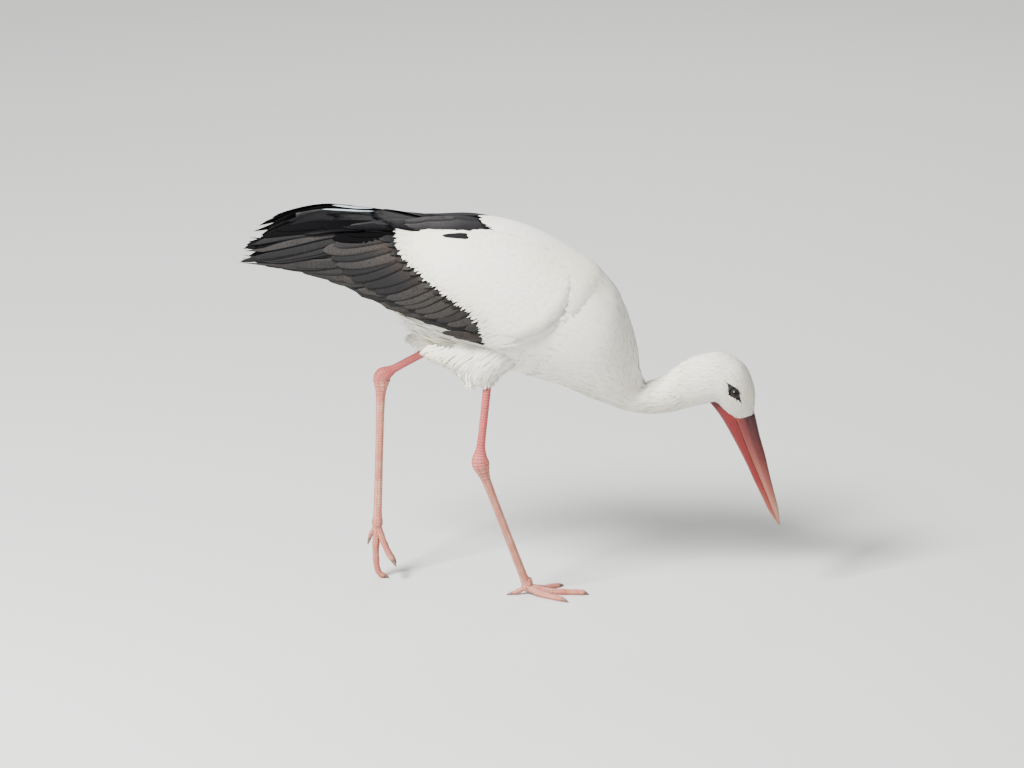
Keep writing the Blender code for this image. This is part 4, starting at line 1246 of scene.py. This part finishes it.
midRows = ((6.84, 0.14, 72, 13), (6.60, 0.17, 76, 14), (6.36, 0.20, 78, 14), (6.08, 0.23, 84, 15),
           (5.86, 0.26, 88, 15), (5.60, 0.295, 90, 16), (5.36, 0.33, 92, 17), (5.14, 0.37, 94, 17),
           (4.95, 0.42, 94, 17), (4.74, 0.47, 96, 18), (4.62, 0.54, 96, 18), (4.44, 0.61, 96, 18),
           (4.36, 0.69, 96, 18), (4.20, 0.77, 94, 18), (4.22, 0.85, 92, 16))
scapularRows = ((4.75, 0.955, 90, 17), (4.95, 0.915, 92, 17), (5.20, 0.950, 94, 18), (5.25, 0.995, 94, 18),
                (5.65, 0.880, 100, 17), (5.70, 0.930, 104, 18), (5.75, 0.975, 104, 18), (6.05, 0.860, 112, 17),
                (6.10, 0.915, 112, 19), (6.05, 0.970, 112, 19))
scapularFronts = ((6.03, 0.985, 106, 19), (6.16, 0.955, 116, 20), (6.27, 0.925, 124, 20), (6.36, 0.897, 132, 20),
                  (6.43, 0.868, 138, 19))
# one small feather that shows through the white of the near wing, and the strip's lower edge and slanting front
wedgeRows = ((6.17, 0.768, 54, 12),)
stripEdge = {"a": (4.3, 4.6, 5.0, 5.4, 6.0, 6.34, 6.35), "b": (0.89, 0.88, 0.845, 0.805, 0.825, 0.855, 2.0)}
stripFront = {"b": (0.86, 0.90, 0.95, 1.0), "a": (6.36, 6.30, 6.16, 6.00)}
secondaryRows = (
    # tips from and to, height up the wing, how many, length and width
    (1.3, 7.2, 0.070, 11, 185, 18), (1.9, 6.8, 0.112, 9, 175, 15), (2.3, 6.3, 0.155, 8, 165, 15),
)
hemRows = ((6.10, 0.020, 60, 14), (6.34, 0.000, 56, 15), (6.56, -0.020, 46, 15), (6.76, -0.025, 36, 15),
           (6.98, -0.015, 27, 14), (7.10, 0.010, 22, 13))


def clearOfStrip(a, b, gap):
    # below the scapular strip's lower edge, or in front of its slanting front
    below = b < np.interp(a, stripEdge["a"], stripEdge["b"]) - gap
    return below | (a > np.interp(b, stripFront["b"], stripFront["a"]) + gap)


def eased(batch):
    # towards its front line the wing's feathers slope down on to the breast
    return sunk(batch, 0.0100 * (1 - held(aboveFrontLine(batch["points"]) / 0.024)) ** 2)


def tucked(batch):
    # dark feathers dive under the wing's bed where the white coverts lie over them
    return sunk(batch, 0.0066 * held((aheadOfBoundary(batch["points"]) + 0.002) / 0.008))


def whiteCoverts(name, look, rng):
    # Small white feathers over the front of the wing, and a fringe of narrow ones whose tips break the edge.
    side, lie = sides[name], wingLie()
    form = wingForm(side)
    a, b = tractRoots(form, 3.6, 9.5, look, rng, -0.02, 1.0)
    point = form(a, b)
    ahead = aheadOfBoundary(point)
    grown = 1 + 0.4 * bell(ahead, 0, 0.045)
    length = look["length"] * grown * rng.uniform(1 - look["spread"], 1 + look["spread"], len(a))
    keep = (ahead - length * 0.97 > -0.0025) & (aboveFrontLine(point) > -0.002)
    keep &= clearOfStrip(a - length / 0.068, b, 0)
    a, b, length, grown = a[keep], b[keep], length[keep], grown[keep]
    width = look["width"] * (0.7 + 0.3 * grown) * rng.uniform(0.85, 1.1, len(a))
    batches = [eased(layFeathers(form, -side, a, b, length, width, lie, contour, rng))]
    tries = 24000
    a, b = rng.uniform(3.9, 7.4, tries), rng.uniform(0.01, 0.94, tries)
    over = -aheadOfBoundary(form(a, b)) / look["overhang"]
    keep = clearOfStrip(a, b, 0.02) & (over > -1.2) & (over < rng.uniform(-0.8, 1.0, tries))
    keep = np.flatnonzero(keep)[:look["fringe"]]
    a, b = a[keep], b[keep]
    length = look["fringeLength"] * rng.uniform(0.8, 1.2, len(a))
    width = look["fringeWidth"] * rng.uniform(0.7, 1.3, len(a))
    shape = dict(plume, sink=0.0030, lift=0.0024, looseness=0.0004, sweep=0.02, camber=0.05)
    batches.append(layFeathers(form, -side, a, b, length, width, lie, shape, rng, fromTip=True))
    return batches


def tipRow(name, rows, shape, rng, extra=0.0, fromTip=True):
    # Feathers listed one by one, set off a little at random so that the two wings differ.
    a, b, length, width = np.array(rows, float).T
    loose = 0.02 if name == "right" else 0.07
    a, b = a + loose * rng.uniform(-1, 1, len(a)), b + 0.15 * loose * rng.uniform(-1, 1, len(a))
    length = length * mm * rng.uniform(0.97, 1.03, len(a))
    side = sides[name]
    batch = layFeathers(wingForm(side), -side, a, b, length, width * mm, wingLie(extra), shape, rng, fromTip)
    if not fromTip:
        return batch
    # towards the wing's upper edge the tone falls below nought and the finish turns to its darker copy: painted shade
    batch["tone"] = batch["tone"] - 1.8 * held((b - 0.70) / 0.12)  # black towards the wing's upper edge
    return tucked(batch)


def underFeathers(name, rng):
    shape = dict(quillFeather, sink=0.0050, lift=-0.0045, fullTo=0.55, tipWidth=0.03, bluntness=1.6, tilt=0.03)
    return [tipRow(name, underRows, shape, rng, 9)]


def flightFeathers(name, rng):
    batches = []
    for number, (first, last, height, count, length, width) in enumerate(secondaryRows):
        a = np.linspace(first, last, count)
        rows = np.stack([a, height + 0 * a, length * np.interp(a, (1.3, 4.2, 7.35), (1, 0.9, 0.35)),
                         width * np.interp(a, (5, 7.35), (1, 0.7))], axis=1)
        shape = dict(quillFeather, sink=0.0040, lift=-0.0034 + 0.0006 * number, fullTo=0.86)
        batches.append(tipRow(name, rows, shape, rng))
    return batches


def primaryFeathers(name, rng):
    shape = dict(quillFeather, sink=0.0040, lift=-0.0020, fullTo=0.50, tipWidth=0.03, bluntness=1.5)
    further = (0.35 if name == "left" else 0, 0, 0, 0)
    return [tipRow(name, np.array(primaryRows) - further, shape, rng, 9)]


def tertialFeathers(name, rng):
    shape = dict(quillFeather, rows=16, sink=0.0040, lift=0.0004, fullTo=0.60, bluntness=1.7, turn=0.035, tilt=0.08)
    return [eased(tipRow(name, hemRows, dict(shape, sink=0.0030, lift=-0.0006), rng)),
            tipRow(name, tertialRows, shape, rng),
            tipRow(name, midRows, dict(shape, rows=14, sink=0.0030, lift=0.0010, fullTo=0.55, turn=0.045), rng)]


def scapularFeathers(name, rng):
    # the strip's feathers are sunk at the root, all but the foremost, whose blunt fronts lie on the white
    shape = dict(quillFeather, sink=0.0050, sinkPower=2.0, lift=-0.0004, fullTo=0.50, quill=0.45, bluntness=1.4,
                 tipWidth=0.02, tilt=0.05)
    fronts = dict(shape, rows=18, sink=0.0022, sinkPower=7.0, lift=0.0008, fullTo=0.42, bluntness=1.2, quill=0.10,
                  turn=0.0)
    ahead = (-0.35 if name == "left" else 0, 0, 0, 0)
    batches = [tipRow(name, scapularRows, shape, rng, -24, False),
               tipRow(name, np.array(scapularFronts) - ahead, fronts, rng, -24, False)]
    if name == "right":
        # one small dark feather shows through the white on the near wing
        batches.append(tipRow(name, wedgeRows, dict(fronts, lift=0.0026, sink=0.0004), rng, -30, False))
    return batches


wingPoints = []
bed = bedMaterial()
for number, name in enumerate(sides):
    rng = np.random.default_rng(20 + number)
    wingPoints.append(wingBed(name, bed))
    near = name == "right"
    # the near wing takes the lighter charcoal finishes and the far wing the black one: painted light on the near wing,
    # painted shade on the far
    for part, feathers, material in (
        ("under", underFeathers, black),
        ("flight", flightFeathers, rimmed if near else black),
        ("primaries", primaryFeathers, slotted if near else black),
        ("tertials", tertialFeathers, charcoal if near else black),
        ("scapulars", scapularFeathers, scapular),
    ):
        coatPiece(f"wing_{name}_{part}", feathers(name, rng), material, "plumage_black")
    coatPiece(f"wing_{name}_coverts", whiteCoverts(name, wingCoverts, rng), white, "plumage_white")
wingPoints = np.concatenate(wingPoints)
print("wings ready")


roofLook = {"count": 15, "length": 0.150, "width": 0.030, "tips": (3.75, 2.9, 2.0),
            # pale: two far tertials with a painted reflection of the sky, and a thin pale rump feather
            "pale": ((1.96, 0.86, 58, 20), (1.96, 0.62, 60, 22), (1.95, 0.04, 74, 8))}
tailLook = {"count": 12, "length": 0.150, "width": 0.0216, "coverts": 90}
mantleLook = {
    # for each part: rows from and to, spacing of rows and within them, length and width
    "back": {"rows": (1.45, 4.2), "spacing": (0.0064, 0.0060), "length": 0.034, "width": 0.0150},
    "front": {"rows": (4.0, 5.9), "spacing": (0.0056, 0.0040), "length": 0.040, "width": 0.0080},
    # how far round the back they reach at these rows, and how deep their lower edges sink
    "reach": ((1.4, 2.6, 3.4, 4.0, 5.0, 6.0), (0.30, 0.36, 1.00, 1.25, 1.05, 0.90)), "edgeSink": 0.0085,
    "dark": {"rows": (0.62, 0.88, 1.16), "inRow": 6, "across": (-0.20, 0.24), "length": (0.042, 0.054, 0.072),
             "width": 0.018},
}


def makeMantle(look):
    # White feathers over the middle of the back and down over the wings' front edges.
    rng = np.random.default_rng(33)
    shapes = {"back": dict(contour, lift=0.0003), "front": dict(plume, looseness=0.0003, lift=0.0001, camber=0.04)}
    batches = []
    for part, shape in shapes.items():
        facts = look[part]
        a, b = tractRoots(mantleForm, *facts["rows"], facts, rng, -1.95, 1.95)
        keep = np.abs(b) < np.interp(a, *look["reach"]) * rng.uniform(0.94, 1.0, len(a))
        keep &= a > 1.45 + 0.55 * np.abs(b)
        a, b = a[keep], b[keep]
        length, width = facts["length"] * rng.uniform(0.85, 1.1, len(a)), np.full(len(a), facts["width"])
        batch = layFeathers(mantleForm, 1, a, b, length, width, backwards, shape, rng)
        # its lower edges sink on to the breast
        edge = held(1 - (np.interp(a, *look["reach"]) - np.abs(b)) / 0.5) ** 1.5
        edge = edge * held(1.3 - np.abs(a - 3.9))
        batches.append(sunk(batch, (look["edgeSink"] * edge)[:, None, None]))
    coatPiece("coat_mantle", batches, white, "plumage_white")
    # dark feathers down the middle of the back, between the two wings' scapulars
    facts = look["dark"]
    rows, inRow = len(facts["rows"]), facts["inRow"]
    count = rows * inRow
    b = np.tile(np.linspace(*facts["across"], inRow), rows)
    a = np.repeat(facts["rows"], inRow) + 0.05 * rng.uniform(-1, 1, count)
    length = np.repeat(facts["length"], inRow) * rng.uniform(0.85, 1.1, count)
    shape = dict(quillFeather, sink=0.0046, sinkPower=4.0, lift=-0.0016, fullTo=0.5, quill=0.3, tilt=0.0, tipWidth=0.02)
    batch = layFeathers(mantleForm, 1, a, b, length, np.full(count, facts["width"]), backwards, shape, rng)
    coatPiece("back_scapulars", [batch], scapular, "plumage_black")


def makeRoof(look):
    # Dark tertials and long back feathers that close over the rump between the wings, and a pale patch: a painted
    # reflection of the sky on two far tertials, and a thin pale rump feather.
    rng = np.random.default_rng(31)
    batches = []
    for row, tip in enumerate(look["tips"]):
        count = look["count"] - 2 * row
        b = np.linspace(-0.92, 0.92, count)
        shape = dict(quillFeather, sink=0.0030 - 0.0006 * row, lift=0.0004 + 0.0006 * row, fullTo=0.72, tilt=0.0)
        a = tip - 0.35 * b**2 + rng.uniform(-0.12, 0.12, count)
        length, width = look["length"] * rng.uniform(0.9, 1.05, count), np.full(count, look["width"])
        batches.append(layFeathers(roofForm, -1, a, b, length, width, onwards, shape, rng, fromTip=True))
    coatPiece("back_tertials", batches, black, "plumage_black")
    # two far tertials carry a pale bluish painted reflection of the sky, and a thin pale rump feather lies nearer
    a, b, length, width = np.array(look["pale"], float).T
    shape = dict(quillFeather, sink=-0.0040, lift=0.0070, fullTo=0.55, quill=0.5, tilt=0.0)
    patch = layFeathers(roofForm, -1, a, b, length * mm, width * mm, onwards, shape, rng)
    coatPiece("pale_and_glint_tertials", [patch], paleAndGlint, "plumage_white")


def tailForm(a, b):
    # A shallow fan: a runs 0 to 1 from root to tip, b is metres across at the root, widening towards the tip.
    drop = 0.003 * np.sin(math.pi * a) + 9.0 * (b * (1 + 0.5 * a)) ** 2
    return np.stack([-0.205 - 0.165 * a + 0 * b, b * (1 + 0.9 * a), 0.527 - drop], axis=-1)


def makeTail(look):
    rng = np.random.default_rng(41)
    count = look["count"]
    order = np.abs(np.linspace(-1, 1, count))
    shape = dict(quillFeather, sink=0.0, lift=0.0, fullTo=0.86, tilt=0.0)
    batch = layFeathers(tailForm, -1, np.full(count, 0.02), np.linspace(-0.0135, 0.0135, count),
                        look["length"] * (1 - 0.05 * order), np.full(count, look["width"]), onwards, shape, rng)
    batch["points"] = batch["points"] + (1 - order)[:, None, None, None] * np.array((0, 0, 0.003))
    batches = [batch]
    count = look["coverts"]
    soft = dict(plume, columns=5, sink=0.001, lift=0.002)
    for outwards, lift in ((-1, 0.003), (1, -0.004)):
        a, b = rng.uniform(-0.25, 0.35, count), rng.uniform(-0.017, 0.017, count)
        length, width = rng.uniform(0.045, 0.075, count), rng.uniform(0.010, 0.015, count)
        batch = layFeathers(tailForm, outwards, a, b, length, width, onwards, soft, rng)
        batch["points"] = batch["points"] + np.array((0, 0, lift))
        batches.append(batch)
    coatPiece("tail_feathers", batches, white, "plumage_white", "tail")


makeRoof(roofLook)
makeMantle(mantleLook)
makeTail(tailLook)
print("back and tail ready")

tracts = {
    # clear: how far the feathers keep from the wings
    "trunk": {"rows": (0.0, 5.6), "clear": 0.0145,
              "spacing": (0.0082, 0.0076), "length": 0.033, "width": 0.0150, "seed": 51,
              "shape": dict(contour, sink=0.0050, looseness=0.0002), "material": white},
    "breast": {"rows": (4.9, 7.9), "clear": 0.0145,
               "spacing": (0.0054, 0.0040), "length": 0.046, "width": 0.0095, "seed": 52,
               "shape": dict(plume, looseness=0.0004, lift=0.0004, camber=0.04, turn=0.08), "material": white},
    "neck": {"rows": (7.5, 11.5), "spacing": (0.0044, 0.0030), "length": 0.025, "width": 0.0040, "seed": 53,
             "shape": dict(plume, sink=0.0030, looseness=0.0003, lift=0.0001, camber=0.04, sweep=0.03),
             "material": cream},
    "head": {"rows": (10.9, 14.98), "spacing": (0.0023, 0.0015), "length": 0.0078, "width": 0.0017, "seed": 54,
             "shape": scale, "material": white},
}


def layTract(name, look):
    # Rows of contour feathers round the body, clear of the wings and of the bare face.
    rng = np.random.default_rng(look["seed"])
    a, b = tractRoots(bodyForm, *look["rows"], look, rng, jitter=0.18)
    point = bodyForm(a, b)
    keep = np.full(len(a), True)
    if "clear" in look:
        keep &= nearest(point, wingPoints)[1] > look["clear"]
    length = np.full(len(a), look["length"])
    if name == "head":
        keep &= bareFace(point[:, 0], point[:, 2]) < 0.5
        length = np.interp(a, (10.9, 12.5, 14.0, 15.0), (0.0170, 0.0125, 0.0080, 0.0050))
    length = length * rng.uniform(0.82, 1.15, len(a))
    width = look["width"] * rng.uniform(0.8, 1.15, len(a))
    if name == "breast":
        width = width * np.interp(a, (4.9, 6.6), (1.45, 1.0))
    a, b, length, width = a[keep], b[keep], length[keep], width[keep]
    batch = layFeathers(bodyForm, -1, a, b, length, width, backwards, look["shape"], rng)
    if name == "trunk":
        batch = sunk(batch, 0.0022 * held((a - 4.2) / 1.2)[:, None, None])  # its front slopes under the breast's
    coatPiece(f"coat_{name}", [batch], look["material"], "plumage_white")


plumeLook = {"count": 620, "rows": (6.3, 8.5), "length": (0.044, 0.074), "width": (0.0022, 0.0040)}


def makePlumes(look):
    # Long loose plumes that hang back from the lower neck over the breast.
    rng = np.random.default_rng(71)
    count = look["count"]
    a, b = rng.uniform(*look["rows"], count), rng.uniform(-math.pi - 0.5, 0.5, count)
    length, width = rng.uniform(*look["length"], count), rng.uniform(*look["width"], count)
    shape = dict(plume, rows=9, sink=0.0016, lift=0.0004, looseness=0.0010, turn=0.10, sweep=0.05, camber=0.04)
    batch = layFeathers(bodyForm, -1, a, b, length, width, backwards, shape, rng)
    coatPiece("coat_plumes", [batch], cream, "plumage_white")


thighLook = {
    "spacing": (0.0044, 0.0032), "length": 0.052, "width": 0.0038,
    "shape": dict(plume, rows=8, looseness=0.0028, sink=0.0034, camber=0.08, sweep=0.06, turn=0.10),
    # loose tufts of the skirts, the near flank and under the tail: how many, lengths, widths, how they stand
    "skirt": {"count": 300, "length": (0.030, 0.050), "width": (0.0022, 0.0042),
              "loose": {"sink": 0.0010, "lift": 0.0034, "looseness": 0.0060, "turn": 0.14}},
    "flank": {"count": 420, "length": (0.034, 0.052), "width": (0.0026, 0.0046),
              "loose": {"sink": 0.0030, "lift": 0.0014, "looseness": 0.0030, "turn": 0.12}},
    "vent": {"count": 320, "length": (0.034, 0.058), "width": (0.0024, 0.0046),
             "loose": {"sink": 0.0010, "lift": 0.0030, "looseness": 0.0080, "turn": 0.16}},
}


def downThigh(alongA, a, b):
    return unit(alongA) * 0.9 + np.array((-0.55, 0, -0.10))


def fanBack(alongA, a, b):
    return np.stack([np.full(a.shape, -1.0), 0 * a, -0.30 - 0.35 * a], axis=-1)


def underTail(alongA, a, b):
    return -unit(alongA) + np.array((0, 0, -0.25))


def looseTufts(form, outwards, a, b, room, look, lie, rng):
    # Tufts at random lengths, no longer than the room they have before the form ends.
    count = look["count"]
    length = rng.uniform(*look["length"], count)
    if room is not None:
        length = np.minimum(length, room * rng.uniform(0.8, 1.0, count))
    shape = dict(thighLook["shape"], **look["loose"])
    return layFeathers(form, outwards, a, b, length, rng.uniform(*look["width"], count), lie, shape, rng)


def makeThighs(look):
    batches = []
    for number, name in enumerate(sides):
        rng = np.random.default_rng(61 + number)
        form = thighForm(sides[name], thighRows[name])
        last = len(thighRows[name]) - 2.0
        a, b = tractRoots(form, 0.3, last - 0.25, look, rng)
        length = look["length"] * rng.uniform(0.7, 1.15, len(a)) * np.interp(a, (0, last - 1, last), (1.1, 0.9, 0.42))
        room = np.linalg.norm(form(a, b) - form(np.full(len(a), last), b), axis=1)
        room = np.maximum(room + rng.uniform(-0.004, 0.004, len(a)), 0.006)
        length = np.minimum(length, room)
        width = look["width"] * rng.uniform(0.8, 1.2, len(a)) * np.clip(length / 0.016, 0.45, 1)
        batches.append(layFeathers(form, 1, a, b, length, width, downThigh, look["shape"], rng))
        count = look["skirt"]["count"]
        form = thighForm(sides[name], skirtRows[name])
        last = len(skirtRows[name]) - 1.0
        around = (math.pi, math.pi, 0) if name == "right" else (math.pi, 0)
        a, b = rng.uniform(0.7, last - 0.6, count), rng.choice(around, count) + rng.uniform(-1.2, 1.2, count)
        room = np.linalg.norm(form(a, b) - form(np.full(count, last), b), axis=1)
        batches.append(looseTufts(form, 1, a, b, room, look["skirt"], downThigh, rng))
    # the near flank's tufts fan back over the gap between the thighs
    rng = np.random.default_rng(69)
    count = look["flank"]["count"]
    form = thighForm(sides["right"], flankRows)
    a, b = rng.uniform(0.5, 2.5, count), -math.pi / 2 - rng.uniform(-0.15, 0.85, count)
    room = np.linalg.norm(form(a, b) - form(a + 0.35, np.full(count, -math.pi)), axis=1)
    batches.append(looseTufts(form, 1, a, b, room, look["flank"], fanBack, rng))
    # loose feathers under the tail, ragged against the light
    rng = np.random.default_rng(67)
    count = look["vent"]["count"]
    a, b = rng.uniform(0.7, 2.9, count), -math.pi / 2 + rng.uniform(-1.1, 1.1, count)
    batches.append(looseTufts(bodyForm, -1, a, b, None, look["vent"], underTail, rng))
    coatPiece("coat_thighs", batches, white, "plumage_white")


for name, look in tracts.items():
    layTract(name, look)
makePlumes(plumeLook)
makeThighs(thighLook)
print("coat ready")

studio = {
    "distance": 15.0, "elevation": 17.0, "lens": 356.3, "aim": (0.0, 0.0, 0.3219),
    "floor": (0.60, 0.60, 0.585), "floorReach": 60.0, "world": (0.91, 0.915, 0.92), "worldStrength": 0.66,
    # each light: place, size, power; all face the bird's middle
    "lights": {"key": ((-2.2, -2.1, 3.4), 1.2, 680), "fill": ((2.8, -2.2, 1.4), 2.2, 12),
               "rim": ((0.6, 3.0, 2.4), 1.6, 50)},
    "middle": (0, 0, 0.35),
}


def aimed(name, data, place, heading):
    holder = inScene(name, data)
    holder.location = place
    holder.rotation_mode = "QUATERNION"
    holder.rotation_quaternion = Vector(heading).to_track_quat("-Z", "Y")
    return holder


def makeStage(look):
    mesh = bpy.data.meshes.new("floor")
    corners = [(x * look["floorReach"], y * look["floorReach"], 0) for x, y in ((-1, -1), (1, -1), (1, 1), (-1, 1))]
    mesh.from_pydata(corners, [], [(0, 1, 2, 3)])
    mesh.materials.append(newMaterial("pale_floor", {"Base Color": (*look["floor"], 1), "Roughness": 0.9})[0])
    inScene("floor", mesh)
    world = bpy.data.worlds.new("studio")
    world.use_nodes = True
    background = world.node_tree.nodes["Background"]
    background.inputs["Color"].default_value = (*look["world"], 1)
    background.inputs["Strength"].default_value = look["worldStrength"]
    bpy.context.scene.world = world
    for name, (place, size, power) in look["lights"].items():
        lamp = bpy.data.lights.new(name, "AREA")
        lamp.energy = power
        lamp.size = size
        aimed(name, lamp, place, np.array(look["middle"]) - np.array(place))


def makeCamera(look):
    tilt = math.radians(look["elevation"])
    back = np.array((0, -math.cos(tilt), math.sin(tilt)))
    data = bpy.data.cameras.new("camera")
    data.lens = look["lens"]
    data.sensor_width = 36
    data.clip_end = 200
    bpy.context.scene.camera = aimed("camera", data, np.array(look["aim"]) + back * look["distance"], -back)


makeStage(studio)
makeCamera(studio)
